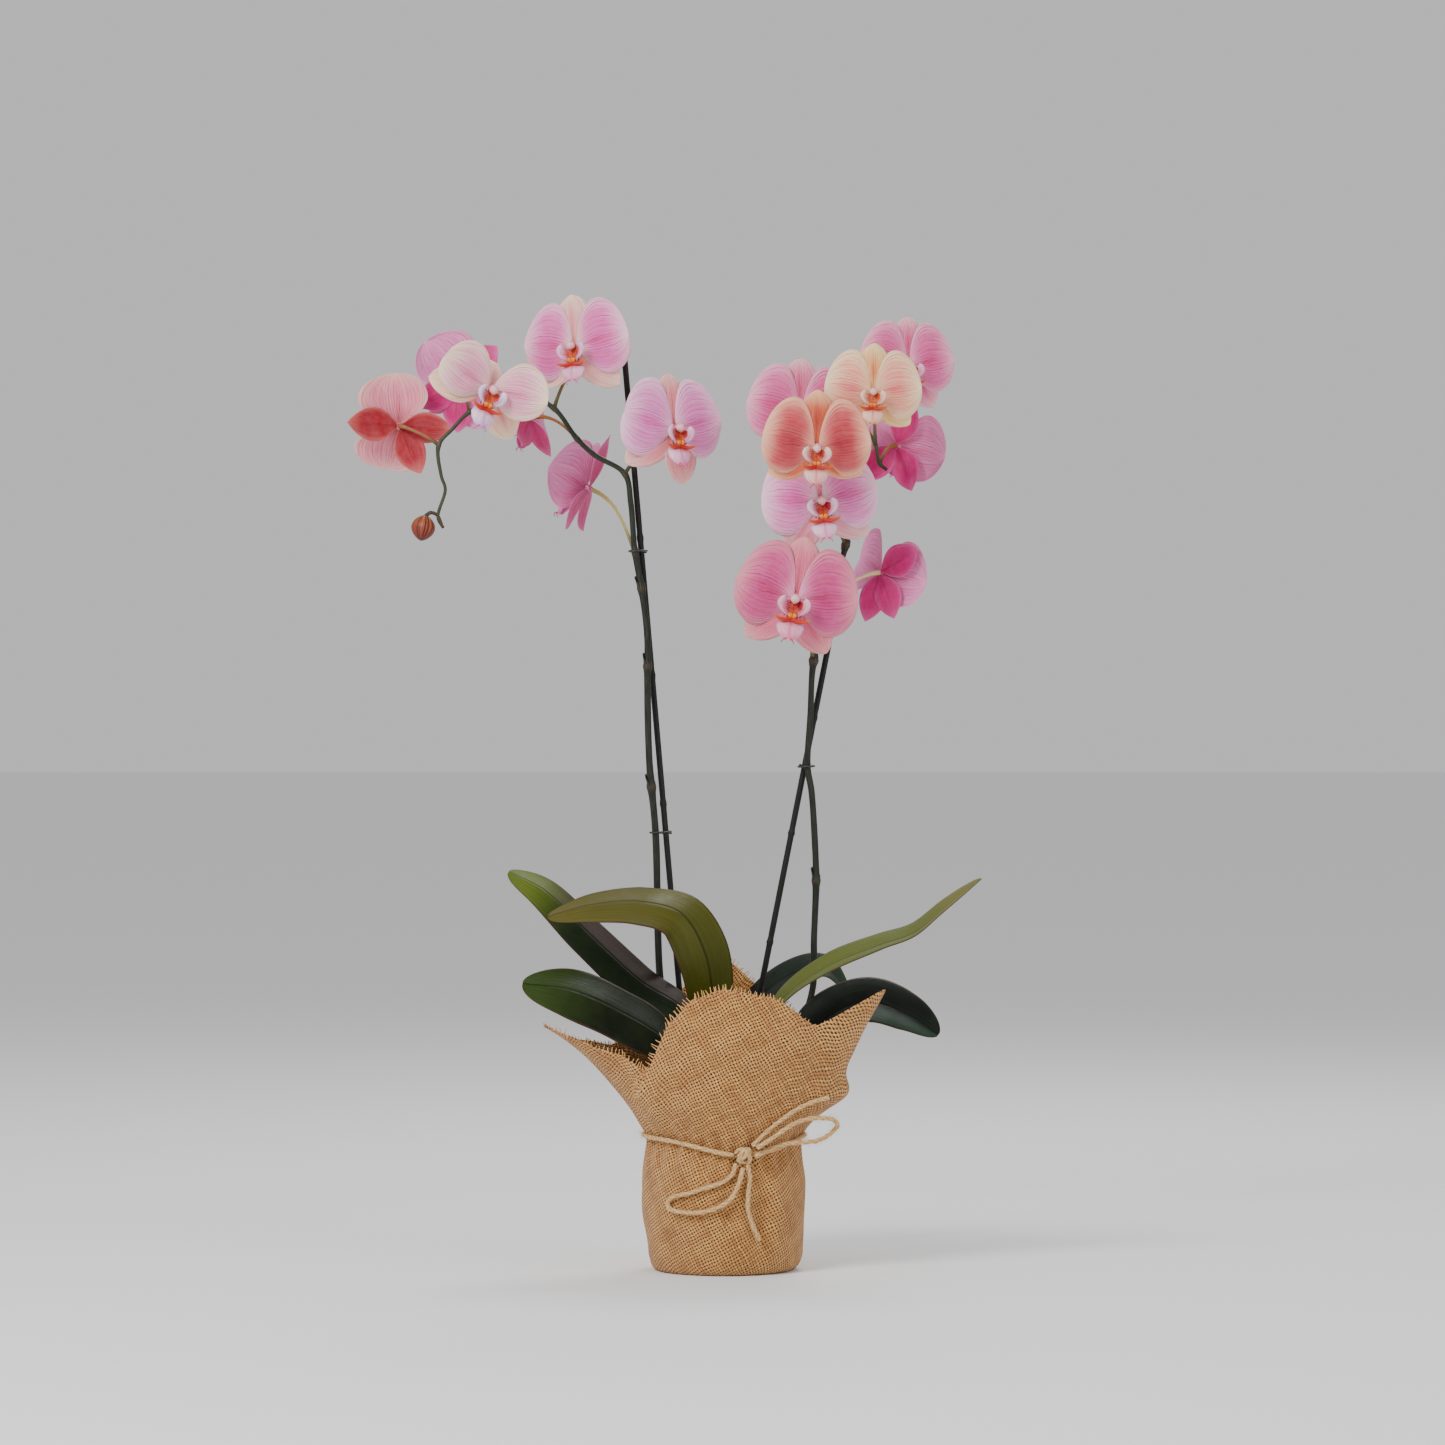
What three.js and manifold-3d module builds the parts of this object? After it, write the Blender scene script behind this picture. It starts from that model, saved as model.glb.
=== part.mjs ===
// A potted moth orchid: two flower spikes on stakes, six leaves, a grow pot of bark, and a jute cloth
// gathered round the pot and tied with twine in a bow. Millimetres, +Z up, the front faces -Y, and the
// origin is the middle of the cloth's flat base.
import * as THREE from "three";
import { mergeVertices } from "three/addons/utils/BufferGeometryUtils.js";
import Module from "manifold-3d";

const GAP = 0.3; // between pieces that touch

// Pot, bark and crown
const POT_FLOOR = 2;
const POT_HEIGHT = 108;
const POT_BASE_RADIUS = 44;
const POT_TOP_RADIUS = 53;
const POT_LIP = 2;
const POT_WALL = 1.2;
const DRAIN_HOLE_RADIUS = 4;
const DRAIN_HOLE_RING = 26;
const BARK_HEIGHT = 92;
const BARK_DOME = 6;
const CROWN_RADIUS = 9;
const CROWN_HEIGHT = 12;

// Cloth
const CLOTH = 1.6;
const CLOTH_BASE_RADIUS = 48;
const CLOTH_WAIST_RADIUS = 57.5;
const CLOTH_BODY_RADIUS = 60.5;
const WAIST_HEIGHT = 101;
const WAIST_DIP = 11; // how far the tie sags at the bow
const KNOT_ANGLE = 14;

// Twine
const TWINE_RADIUS = 2;
const TWINE_SIDES = 8;

// Spikes and stakes
const STAKE_RADIUS = 2.4;
const PEDICEL_RADIUS = 1.3;
const CLIP_WIRE = 0.8;

// Flowers, as shares of the width from petal tip to petal tip
const TEPAL = 1.2;
const PETAL = { length: 0.49, breadth: 0.68, start: 0.02, low: 0.9, full: 0.75, reach: -0.012 };
const SEPAL = { length: 0.49, breadth: 0.3, start: 0.02, low: 0.92, full: 0.7, reach: 0.014 };
const PETAL_LIFT = 8; // degrees above level
const SEPAL_SPREAD = 38; // degrees either side of straight down
const RECEPTACLE = 0.045;
const LIP_STEP = 0.075; // how far in front of the receptacle the lip begins

const wasm = await Module();
wasm.setup();

const orchid = new THREE.Group();
const at = (x, y, z) => new THREE.Vector3(x, y, z);
const rad = THREE.MathUtils.degToRad;
const smooth = THREE.MathUtils.smoothstep;
const curveThrough = (points) => new THREE.CatmullRomCurve3(points.map((p) => at(...p)));

const finish = (color, roughness, metalness = 0) =>
  new THREE.MeshStandardMaterial({ color, roughness, metalness });
const finishes = {
  cloth: finish(0xb88a5c, 0.95),
  twine: finish(0xd8b98a, 0.9),
  pot: finish(0x4a4640, 0.4),
  bark: finish(0x5a3a24, 0.9),
  crown: finish(0x6f7a45, 0.7),
  leaf: finish(0x2f4a1c, 0.4),
  stem: finish(0x37452c, 0.6),
  stake: finish(0x15140f, 0.5),
  clip: finish(0x2b2b2b, 0.4),
  bud: finish(0x8a3b22, 0.6),
  lip: finish(0xd9622a, 0.5),
};
const petalFinishes = {
  pink: finish(0xe3a6c4, 0.55),
  cream: finish(0xefd9c4, 0.55),
  peach: finish(0xe8b5a8, 0.55),
  magenta: finish(0xc9408f, 0.55),
  salmon: finish(0xc95a5a, 0.55),
};

function add(name, geometry, material, parent = orchid) {
  const mesh = new THREE.Mesh(geometry, material.clone());
  mesh.name = name;
  parent.add(mesh);
  return mesh;
}

// Solids for the cuts and joins.

function toSolid(geometry) {
  const bare = new THREE.BufferGeometry().setAttribute("position", geometry.getAttribute("position"));
  if (geometry.index) bare.setIndex(geometry.index);
  const merged = mergeVertices(bare, 1e-4);
  const solid = new wasm.Manifold(
    new wasm.Mesh({
      numProp: 3,
      vertProperties: merged.attributes.position.array,
      triVerts: new Uint32Array(merged.index.array),
    }),
  );
  return solid;
}

function fromSolid(solid) {
  const mesh = solid.getMesh();
  return new THREE.BufferGeometry()
    .setAttribute("position", new THREE.BufferAttribute(mesh.vertProperties, 3))
    .setIndex(new THREE.BufferAttribute(mesh.triVerts, 1));
}

const joined = (geometries) => fromSolid(geometries.map(toSolid).reduce((a, b) => a.add(b)).simplify(0.2));
const cut = (geometry, tools) =>
  fromSolid(tools.map(toSolid).reduce((a, b) => a.subtract(b), toSolid(geometry)));

// A closed grid of rings: rings[i][j] is a point, each ring goes round once, and both ends are capped.
function closedRings(rings) {
  const sides = rings[0].length;
  const position = rings.flat().flatMap((p) => [p.x, p.y, p.z]);
  const index = [];
  for (let i = 0; i + 1 < rings.length; i++)
    for (let j = 0; j < sides; j++) {
      const k = (j + 1) % sides;
      const [a, b, c, d] = [i * sides + j, i * sides + k, (i + 1) * sides + k, (i + 1) * sides + j];
      index.push(a, b, c, a, c, d);
    }
  for (const [ring, flip] of [[0, true], [rings.length - 1, false]]) {
    const middle = rings[ring].reduce((s, p) => s.add(p), at(0, 0, 0)).divideScalar(sides);
    const m = position.length / 3;
    position.push(middle.x, middle.y, middle.z);
    for (let j = 0; j < sides; j++) {
      const pair = [ring * sides + j, ring * sides + ((j + 1) % sides)];
      index.push(m, ...(flip ? pair.reverse() : pair));
    }
  }
  return new THREE.BufferGeometry()
    .setAttribute("position", new THREE.Float32BufferAttribute(position, 3))
    .setIndex(index);
}

// A round stem along a curve, with its radius given along it from 0 to 1.
function stem(curve, steps, sides, radiusAt) {
  const frames = curve.computeFrenetFrames(steps);
  const rings = [];
  for (let i = 0; i <= steps; i++) {
    const centre = curve.getPointAt(i / steps);
    const r = radiusAt(i / steps);
    const ring = [];
    for (let j = 0; j < sides; j++) {
      const a = (2 * Math.PI * j) / sides;
      ring.push(
        centre
          .clone()
          .addScaledVector(frames.normals[i], r * Math.cos(a))
          .addScaledVector(frames.binormals[i], r * Math.sin(a)),
      );
    }
    rings.push(ring);
  }
  return closedRings(rings);
}

// A cord of even thickness along a curve.
function cord(curve, steps) {
  const section = new THREE.Shape().absarc(0, 0, TWINE_RADIUS, 0, 2 * Math.PI);
  return new THREE.ExtrudeGeometry(section, {
    steps,
    curveSegments: TWINE_SIDES / 2,
    bevelEnabled: false,
    extrudePath: curve,
  });
}

// A thin closed blade. surface(u, v) is its middle, with u from 0 to 1 along it and v from -1 to 1 across.
function blade(surface, rows, columns, thickness) {
  const STEP = 1e-3;
  const side = (u, v, offset) => {
    const du = surface(u + STEP, v).sub(surface(u - STEP, v));
    const dv = surface(u, v + STEP).sub(surface(u, v - STEP));
    return surface(u, v).addScaledVector(du.cross(dv).normalize(), offset);
  };
  const rings = [];
  for (let i = 0; i <= rows; i++) {
    const ring = [];
    for (let j = 0; j <= columns; j++) ring.push(side(i / rows, -1 + (2 * j) / columns, thickness / 2));
    for (let j = columns; j >= 0; j--) ring.push(side(i / rows, -1 + (2 * j) / columns, -thickness / 2));
    rings.push(ring);
  }
  return closedBlade(rings, columns);
}

// The same rings as a blade's, with each end closed by a strip between its two sides.
function closedBlade(rings, columns) {
  const sides = rings[0].length;
  const position = rings.flat().flatMap((p) => [p.x, p.y, p.z]);
  const index = [];
  for (let i = 0; i + 1 < rings.length; i++)
    for (let j = 0; j < sides; j++) {
      const k = (j + 1) % sides;
      const [a, b, c, d] = [i * sides + j, i * sides + k, (i + 1) * sides + k, (i + 1) * sides + j];
      index.push(a, c, b, a, d, c);
    }
  for (const [ring, flip] of [[0, false], [rings.length - 1, true]])
    for (let j = 0; j < columns; j++) {
      const o = ring * sides;
      const [a, b, c, d] = [o + j, o + j + 1, o + sides - 2 - j, o + sides - 1 - j];
      index.push(...(flip ? [a, c, b, a, d, c] : [a, b, c, a, c, d]));
    }
  return new THREE.BufferGeometry()
    .setAttribute("position", new THREE.Float32BufferAttribute(position, 3))
    .setIndex(index);
}

// The cloth. Its top edge is given by angle round the pot, 0 at the front and 90 on the right:
// [angle, radius, height, how domed the wall below it is].
const CLOTH_EDGE = [
  [0, 82, 214, 1],
  [25, 84, 208, 1],
  [48, 92, 186, 0.8],
  [72, 126, 212, 0.5],
  [82, 108, 187, 0.5],
  [96, 96, 168, 0.6],
  [125, 88, 165, 0.8],
  [152, 84, 200, 0.9],
  [180, 78, 229, 0.9],
  [208, 82, 204, 0.8],
  [245, 96, 166, 0.6],
  [266, 116, 172, 0.2],
  [280, 136, 184, 0],
  [300, 96, 165, 0.4],
  [316, 80, 152, 0.9],
  [332, 82, 190, 1],
  [345, 82, 207, 1],
];

function clothEdge(angle) {
  const turned = ((angle % 360) + 360) % 360;
  const n = CLOTH_EDGE.length;
  const next = CLOTH_EDGE.findIndex((key) => key[0] > turned);
  const k = next < 0 ? n : next;
  const [a, b] = [CLOTH_EDGE[k - 1], CLOTH_EDGE[k % n]];
  const span = (k === n ? 360 : b[0]) - a[0];
  const t = smooth((turned - a[0]) / span, 0, 1) * 0.6 + ((turned - a[0]) / span) * 0.4;
  return [1, 2, 3].map((i) => a[i] + (b[i] - a[i]) * t);
}

const fromKnot = (angle) => ((angle - KNOT_ANGLE + 540) % 360) - 180;
const waistHeight = (angle) => WAIST_HEIGHT - WAIST_DIP * Math.exp(-((fromKnot(angle) / 38) ** 2));

function clothRadius(angle, z) {
  const waist = waistHeight(angle);
  if (z <= waist) {
    const corner = CLOTH_BASE_RADIUS + (58.5 - CLOTH_BASE_RADIUS) * Math.sqrt(1 - (1 - Math.min(z, 14) / 14) ** 2);
    const body = (CLOTH_BODY_RADIUS - 58.5) * smooth(z, 14, 50);
    const pull = (CLOTH_BODY_RADIUS - CLOTH_WAIST_RADIUS) * smooth(z, waist - 36, waist);
    const slack = 3.5 * Math.max(0, 1 - z / 50) ** 2 * Math.max(0, -Math.sin(rad(angle)));
    return corner + body - pull - slack * Math.min(1, z / 8);
  }
  const [radius, height, dome] = clothEdge(angle);
  const s = Math.min(1, (z - waist) / (height - waist));
  const rise = dome * (1 - (1 - s) ** 2) + (1 - dome) * (0.6 * s + 0.4 * s ** 3);
  const lump = 15 * Math.exp(-(((angle - 78) / 20) ** 2) - ((z - 133) / 13) ** 2);
  return CLOTH_WAIST_RADIUS + (radius - CLOTH_WAIST_RADIUS) * rise + lump;
}

const polar = (angle, radius, z) => at(radius * Math.sin(rad(angle)), -radius * Math.cos(rad(angle)), z);
const onCloth = (angle, z, out) => polar(angle, clothRadius(angle, z) + out, z);

function clothWrap() {
  const ROUND = 36;
  const below = [0, 3, 8, 14, 40, 70];
  const above = [0, 0.12, 0.28, 0.45, 0.7, 1];
  const point = (row, j, inset) => {
    const angle = (360 * j) / ROUND;
    const waist = waistHeight(angle);
    const z =
      row < below.length ? below[row] : waist + above[row - below.length] * (clothEdge(angle)[1] - waist);
    return polar(angle, clothRadius(angle, z) - inset, Math.max(z, inset));
  };
  const rows = below.length + above.length;
  const ring = (row, inset) => Array.from({ length: ROUND }, (_, j) => point(row, j, inset));
  const outer = Array.from({ length: rows }, (_, row) => ring(row, 0));
  const inner = Array.from({ length: rows }, (_, i) => ring(rows - 1 - i, CLOTH));
  return closedRings([...outer, ...inner]);
}

add("jute_wrap", clothWrap(), finishes.cloth);

// The grow pot, with drainage holes, and the bark that fills it.
function growPot() {
  const r = (z) => POT_BASE_RADIUS + (POT_TOP_RADIUS - POT_BASE_RADIUS) * (z / POT_HEIGHT);
  const lipFoot = POT_HEIGHT - 7;
  const profile = [
    [0, 0],
    [r(0) - 2, 0],
    [r(0), 2],
    [r(lipFoot), lipFoot],
    [r(lipFoot) + POT_LIP, lipFoot + 1],
    [r(POT_HEIGHT) + POT_LIP, POT_HEIGHT],
    [r(POT_HEIGHT) + POT_LIP - POT_WALL, POT_HEIGHT],
    [r(lipFoot) - POT_WALL, lipFoot],
    [r(POT_WALL) - POT_WALL, POT_WALL],
    [0, POT_WALL],
  ];
  const shell = new THREE.LatheGeometry(profile.map(([x, y]) => new THREE.Vector2(x, y)), 24);
  const holes = [0, 1, 2, 3, 4].map((i) =>
    new THREE.CylinderGeometry(DRAIN_HOLE_RADIUS, DRAIN_HOLE_RADIUS, 4 * POT_WALL, 10)
      .translate(DRAIN_HOLE_RING, 0, 0)
      .rotateY((2 * Math.PI * i) / 5),
  );
  return cut(shell, holes).rotateX(Math.PI / 2).translate(0, 0, POT_FLOOR);
}

function barkFill(tools) {
  const INSET = POT_WALL + 2 * GAP;
  const slope = (POT_TOP_RADIUS - POT_BASE_RADIUS) / POT_HEIGHT;
  const bottom = POT_WALL + GAP;
  const profile = [
    [0, bottom],
    [POT_BASE_RADIUS - INSET - 1, bottom],
    [POT_BASE_RADIUS + slope * BARK_HEIGHT - INSET, BARK_HEIGHT],
    [30, BARK_HEIGHT + BARK_DOME * 0.7],
    [0, BARK_HEIGHT + BARK_DOME],
  ];
  const plug = new THREE.LatheGeometry(profile.map(([x, y]) => new THREE.Vector2(x, y)), 24);
  return cut(plug.rotateX(Math.PI / 2).translate(0, 0, POT_FLOOR), tools);
}

// Stakes: straight canes pushed into the bark.
const STAKES = {
  stake_left: [[-19.5, 38.5, 45], [-75.3, 13.7, 691]],
  stake_right: [[-3.7, 34.6, 48], [86, 12, 505]],
};

function cane([from, to], radius) {
  const [a, b] = [at(...from), at(...to)];
  const length = a.distanceTo(b);
  const geometry = new THREE.CylinderGeometry(radius, radius, length, 8);
  const turn = new THREE.Quaternion().setFromUnitVectors(at(0, 1, 0), b.clone().sub(a).normalize());
  return geometry.applyQuaternion(turn).translate(...a.lerp(b, 0.5).toArray());
}

add("grow_pot", growPot(), finishes.pot);
add("bark_mix", barkFill(Object.values(STAKES).map((s) => cane(s, STAKE_RADIUS + GAP))), finishes.bark);
for (const [name, ends] of Object.entries(STAKES)) add(name, cane(ends, STAKE_RADIUS), finishes.stake);

// The crown that the leaves grow from, with roots that run out over the bark.
const BARK_TOP = POT_FLOOR + BARK_HEIGHT + BARK_DOME;
const CROWN_TOP = BARK_TOP + GAP + CROWN_HEIGHT;
const ROOTS = [
  [[0, -6, BARK_TOP + 5], [6, -22, BARK_TOP + 6], [14, -34, BARK_TOP + 1], [22, -41, BARK_TOP + 1]],
  [[-5, -4, BARK_TOP + 5], [-20, -16, BARK_TOP + 6], [-32, -22, BARK_TOP + 1], [-44, -18, BARK_TOP + 1]],
  [[2, 6, BARK_TOP + 5], [-4, 22, BARK_TOP + 5], [-6, 34, BARK_TOP + 1], [4, 43, BARK_TOP + 1]],
];

function crown() {
  const stump = new THREE.CylinderGeometry(CROWN_RADIUS * 0.8, CROWN_RADIUS, CROWN_HEIGHT, 12)
    .rotateX(Math.PI / 2)
    .translate(0, 0, BARK_TOP + GAP + CROWN_HEIGHT / 2);
  const roots = ROOTS.map((points) => stem(curveThrough(points), 8, 6, (t) => 2.6 - 0.9 * t));
  return joined([stump, ...roots]);
}

add("crown_and_roots", crown(), finishes.crown);

// Leaves: a spine, the way the blade's far edge lies at the base and at the tip, and the full width.
const LEAVES = {
  leaf_upper_left: {
    spine: [[-9, 7, 116], [-17, 7, 160], [-29, 6, 193], [-63, 5, 216], [-101, 5, 251], [-135, 6, 284], [-162, 6, 298]],
    across: [[0.35, 0.75, 0.5], [0.3, 0.75, 0.5]],
    width: 44,
  },
  leaf_arching: {
    spine: [[-3, -13, 117], [-6, -24, 160], [-8, -35, 205], [-14, -43, 240], [-31, -47, 268], [-62, -48, 277], [-98, -48, 275], [-131, -48, 266]],
    across: [[1, 0.1, 0], [0.1, 0.75, 0.5]],
    width: 48,
  },
  leaf_lower_left: {
    spine: [[-14, -8, 114], [-26, -21, 146], [-44, -31, 174], [-77, -34, 195], [-114, -34, 211], [-150, -34, 216]],
    across: [[0.2, 0.7, 0.6], [0.1, 0.65, 0.75]],
    width: 50,
  },
  leaf_upper_right: {
    spine: [[10, -13, 116], [22, -24, 160], [44, -29, 203], [78, -33, 228], [117, -34, 244], [142, -34, 253], [165, -34, 272], [192, -34, 294]],
    across: [[-0.1, 0.9, 0.35], [0, 0.98, 0.18]],
    width: 42,
  },
  leaf_back_right: {
    spine: [[5, 14, 116], [8, 40, 148], [25, 56, 196], [50, 58, 217], [76, 58, 223], [95, 56, 204]],
    across: [[-0.2, 0.8, 0.4], [0, 0.75, 0.55]],
    width: 34,
  },
  leaf_lower_right: {
    spine: [[15, -1, 113], [38, -3, 142], [62, 2, 172], [85, 8, 192], [110, 11, 199], [137, 9, 190], [161, 4, 175]],
    across: [[-0.2, 0.7, 0.5], [0, 0.7, 0.7]],
    width: 48,
  },
};
const LEAF_THICKNESS = 1.8;
const LEAF_KEEL = 0.22;
const LEAF_BASE_SHARE = 0.3;

const leafHalf = (u) => {
  const widening = LEAF_BASE_SHARE + (1 - LEAF_BASE_SHARE) * smooth(u, 0, 0.55);
  return widening * Math.sqrt(1 - Math.max(0, (Math.min(u, 0.985) - 0.68) / 0.32) ** 2);
};

function leaf({ spine, across, width }) {
  const curve = curveThrough(spine);
  const surface = (u, v) => {
    const t = Math.min(Math.max(u, 0), 1);
    const along = curve.getTangentAt(t);
    const edge = at(...across[0]).lerp(at(...across[1]), t);
    edge.addScaledVector(along, -edge.dot(along)).normalize();
    const up = edge.clone().cross(along).negate();
    const half = (width / 2) * leafHalf(t);
    return curve
      .getPointAt(t)
      .addScaledVector(edge, v * half)
      .addScaledVector(up, Math.abs(v) * half * LEAF_KEEL)
      .addScaledVector(along, u - t);
  };
  return blade(surface, 13, 2, LEAF_THICKNESS);
}

for (const [name, shape] of Object.entries(LEAVES)) add(name, leaf(shape), finishes.leaf);

// Flowers. place is where the tepals meet. turn swings the face to the right, nod drops it, and roll
// turns it clockwise, in degrees. joint is the spike's point that its stalk grows from. top and lower are
// the ways the sepals point, and the swings are how far sepals and petals fold forward, in degrees.
const SPIKES = {
  left: {
    path: [
      [-10, 9, 103], [-27, 23, 140], [-42, 29, 180], [-48, 28, 215], [-51.5, 21.5, 327], [-56, 17, 379],
      [-57.5, 14, 436], [-57.5, 13, 474], [-62, 13, 511], [-67, 12.5, 539], [-70, 12, 575], [-74.5, 10, 597],
      [-97, 9, 611], [-110.5, 9, 623.5], [-127.5, 9, 646], [-150, 8, 657], [-181, 6, 646], [-191, 5, 643],
      [-204, 4, 630], [-214, 3, 618], [-212, 2, 595], [-209, 2, 585], [-214.5, 2, 564], [-210.5, 2, 556],
    ],
    radii: [2.9, 2.5, 1.2],
  },
  right: {
    path: [
      [9, 10, 103], [33, 21, 148], [58, 25, 182], [67, 25, 209], [68, 22, 247], [69.5, 18, 291], [68.5, 15, 321],
      [66, 12, 358], [63, 11, 377], [65, 8, 414], [67.5, 4, 457], [80, 4, 504], [91.5, 10, 543], [96.5, 14, 580],
      [96, 13, 609], [94, 6, 645], [98, -1, 657], [104, -6, 650], [106, -8, 633], [113.5, -8, 618],
      [116.5, -8, 604], [122, -8, 599],
    ],
    radii: [2.6, 2.4, 1.2],
  },
};

const FLOWERS = {
  left_1: { place: [-37, -32, 628], turn: 28, nod: -2, roll: 4, width: 86, joint: 11, petals: "pink", lower: [-139, -66] },
  left_2: { place: [-111, -18, 690], turn: -18, nod: -2, roll: -7, width: 84, joint: 14, petals: "pink", top: 98, lower: [-147, -50] },
  left_3: {
    place: [-174, -42, 657], turn: 20, nod: 8, roll: 22, width: 90, joint: 16, petals: "cream",
    top: 64, topSwing: -42, lower: [-168, -38], swing: [28, 10], broad: 0.68,
  },
  left_4: { place: [-202, 42, 666], turn: 200, nod: 10, roll: -48, width: 82, joint: 17, petals: "magenta", lower: [-132, -76] },
  left_5: {
    place: [-244, 12, 633], turn: 188, nod: 0, roll: 88, width: 80, joint: 19, petals: "salmon",
    lower: [-88, -24], swing: [40, 8],
  },
  left_6: {
    place: [-103, 52, 588], turn: -104, nod: -22, roll: 0, width: 84, joint: 9, petals: "magenta",
    swing: [40, 40], sepalSwing: 14,
  },
  left_7: {
    place: [-148, 54, 641], turn: 228, nod: 10, roll: -5, width: 66, joint: 13, petals: "magenta",
    lower: [-112, -50], swing: [42, 30],
  },
  right_1: { place: [137, -32, 675], turn: 14, nod: 0, roll: 2, width: 76, joint: 16, petals: "pink" },
  right_2: { place: [110, -72, 653], turn: 0, nod: 2, roll: 2, width: 73, joint: 19, petals: "cream", lower: [-142, -38] },
  right_3: { place: [57, -18, 642], turn: 0, nod: 0, roll: 2, width: 82, joint: 15, petals: "pink" },
  right_4: { place: [68, -84, 612], turn: 2, nod: 10, roll: 2, width: 82, joint: 14, petals: "peach", lower: [-144, -30] },
  right_5: { place: [72, -36, 574], turn: 4, nod: 0, roll: -6, width: 89, joint: 12, petals: "pink", lower: [-127, -40] },
  right_6: { place: [53, -52, 501], turn: -2, nod: 2, roll: 10, width: 94, joint: 10, petals: "pink", lower: [-133, -51] },
  right_7: {
    place: [118, 26, 523], turn: 152, nod: 0, roll: -20, width: 76, joint: 11, petals: "magenta",
    top: 132, lower: [-136, -96], swing: [40, 12], sepalSwing: 6,
  },
  right_8: {
    place: [131, 26, 619], turn: 150, nod: 0, roll: -24, width: 78, joint: 20, petals: "magenta",
    lower: [-142, -66], swing: [30, 14], sepalSwing: 4,
  },
};

const frameOf = ({ turn, nod, roll }) => new THREE.Euler(rad(nod), rad(roll), rad(turn), "ZXY");

// A sepal or petal of a flower of this width. angle is the way it points, anticlockwise from the right.
function tepal(width, shape, angle, rows, columns, swing, broad = 1) {
  const [right, up] = [Math.cos(rad(angle)), Math.sin(rad(angle))];
  const [level, ahead] = [Math.cos(rad(swing)), Math.sin(rad(swing))];
  const out = at(right * level, -ahead, up * level);
  const aside = at(-up, 0, right);
  const back = at(right * ahead, level, up * ahead);
  const half = (u) => {
    const within = Math.min(Math.max(u, 0.04), 0.975);
    return broad * (shape.breadth / 2) * Math.sin(Math.PI * within ** shape.low) ** shape.full;
  };
  const surface = (u, v) => {
    const bend = 0.1 * u * u + 0.06 * v * v * half(u) * 2;
    return back
      .clone()
      .multiplyScalar(width * (shape.reach + bend))
      .addScaledVector(out, width * (shape.start + shape.length * u))
      .addScaledVector(aside, width * half(u) * v);
  };
  return blade(surface, rows, columns, TEPAL);
}

function tepals(flower) {
  const { width, top = 90, lower = [-90 - SEPAL_SPREAD, -90 + SEPAL_SPREAD], swing = [0, 0], broad } = flower;
  const { sepalSwing = 0, topSwing = sepalSwing } = flower;
  const middle = new THREE.SphereGeometry(width * RECEPTACLE, 6, 3);
  const sepals = [
    tepal(width, SEPAL, top, 3, 2, topSwing),
    ...lower.map((angle) => tepal(width, SEPAL, angle, 3, 2, sepalSwing)),
  ];
  const petals = [PETAL_LIFT, 180 - PETAL_LIFT].map((a, k) => tepal(width, PETAL, a, 4, 2, swing[k], broad));
  return joined([middle, ...sepals, ...petals]);
}

// The lip and column: two side lobes that stand up round the column, and a middle lobe below.
function lip(width) {
  const size = (x, y, z) => at(width * x, width * y, width * z);
  const callus = new THREE.SphereGeometry(width * 0.05, 5, 3).translate(0, -width * 0.02, -width * 0.015);
  const column = stem(new THREE.LineCurve3(size(0, 0, 0), size(0, -0.1, 0.03)), 1, 5, () => width * 0.032);
  const sideLobe = (hand) =>
    blade(
      (u, v) => size(hand * (0.03 + 0.12 * u), -0.03 - 0.05 * u, 0.01 + 0.03 * u + v * (0.03 + 0.04 * u)),
      1,
      1,
      TEPAL,
    );
  const middleHalf = (u) => 0.035 + 0.075 * Math.sin(Math.PI * Math.min(u, 0.9));
  const middleLobe = blade((u, v) => size(v * middleHalf(u), -0.03 - 0.09 * u, -0.03 - 0.19 * u), 3, 1, TEPAL);
  return joined([callus, column, sideLobe(1), sideLobe(-1), middleLobe]).translate(0, -width * LIP_STEP, 0);
}

const stalks = { left: [], right: [] };
for (const [name, flower] of Object.entries(FLOWERS)) {
  const frame = new THREE.Group();
  frame.position.set(...flower.place);
  frame.rotation.copy(frameOf(flower));
  orchid.add(frame);
  add("tepals_" + name, tepals(flower), petalFinishes[flower.petals], frame);
  add("lip_" + name, lip(flower.width), finishes.lip, frame);

  const side = name.split("_")[0];
  const back = at(0, 1, 0).applyEuler(frameOf(flower));
  const end = at(...flower.place).addScaledVector(back, flower.width * RECEPTACLE + GAP + 0.2);
  const start = at(...SPIKES[side].path[flower.joint]);
  const lead = start.distanceTo(end) * 0.4;
  const path = new THREE.CubicBezierCurve3(
    start,
    start.clone().lerp(end, 0.3).add(at(0, 0, lead * 0.3)),
    end.clone().addScaledVector(back, lead * 0.8),
    end,
  );
  stalks[side].push(stem(path, 6, 6, () => PEDICEL_RADIUS));
}

function spike(side) {
  const { path, radii } = SPIKES[side];
  const [foot, middle, tip] = radii;
  const radiusAt = (t) => (t < 0.5 ? foot + (middle - foot) * t * 2 : middle + (tip - middle) * (t - 0.5) * 2);
  return joined([stem(curveThrough(path), 48, 6, radiusAt), ...stalks[side]]);
}

add("spike_left", spike("left"), finishes.stem);
add("spike_right", spike("right"), finishes.stem);

// The bud hangs from the left spike's tip.
const BUD = { place: [-225.5, 1, 556], size: [9.5, 9.5, 10.5] };
add(
  "bud_left",
  new THREE.SphereGeometry(1, 12, 8).scale(...BUD.size).translate(...BUD.place),
  finishes.bud,
);

// Clips: a wire ring round a spike and its stake.
const CLIPS = {
  clip_left_upper: { place: [-64.6, 16, 539], reach: [8.3, 5.7], turn: 56 },
  clip_left_lower: { place: [-47.7, 24.6, 327], reach: [9, 5.6], turn: 39 },
  clip_right: { place: [62, 14.7, 377], reach: [8.2, 5.8], turn: 106 },
};

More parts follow.
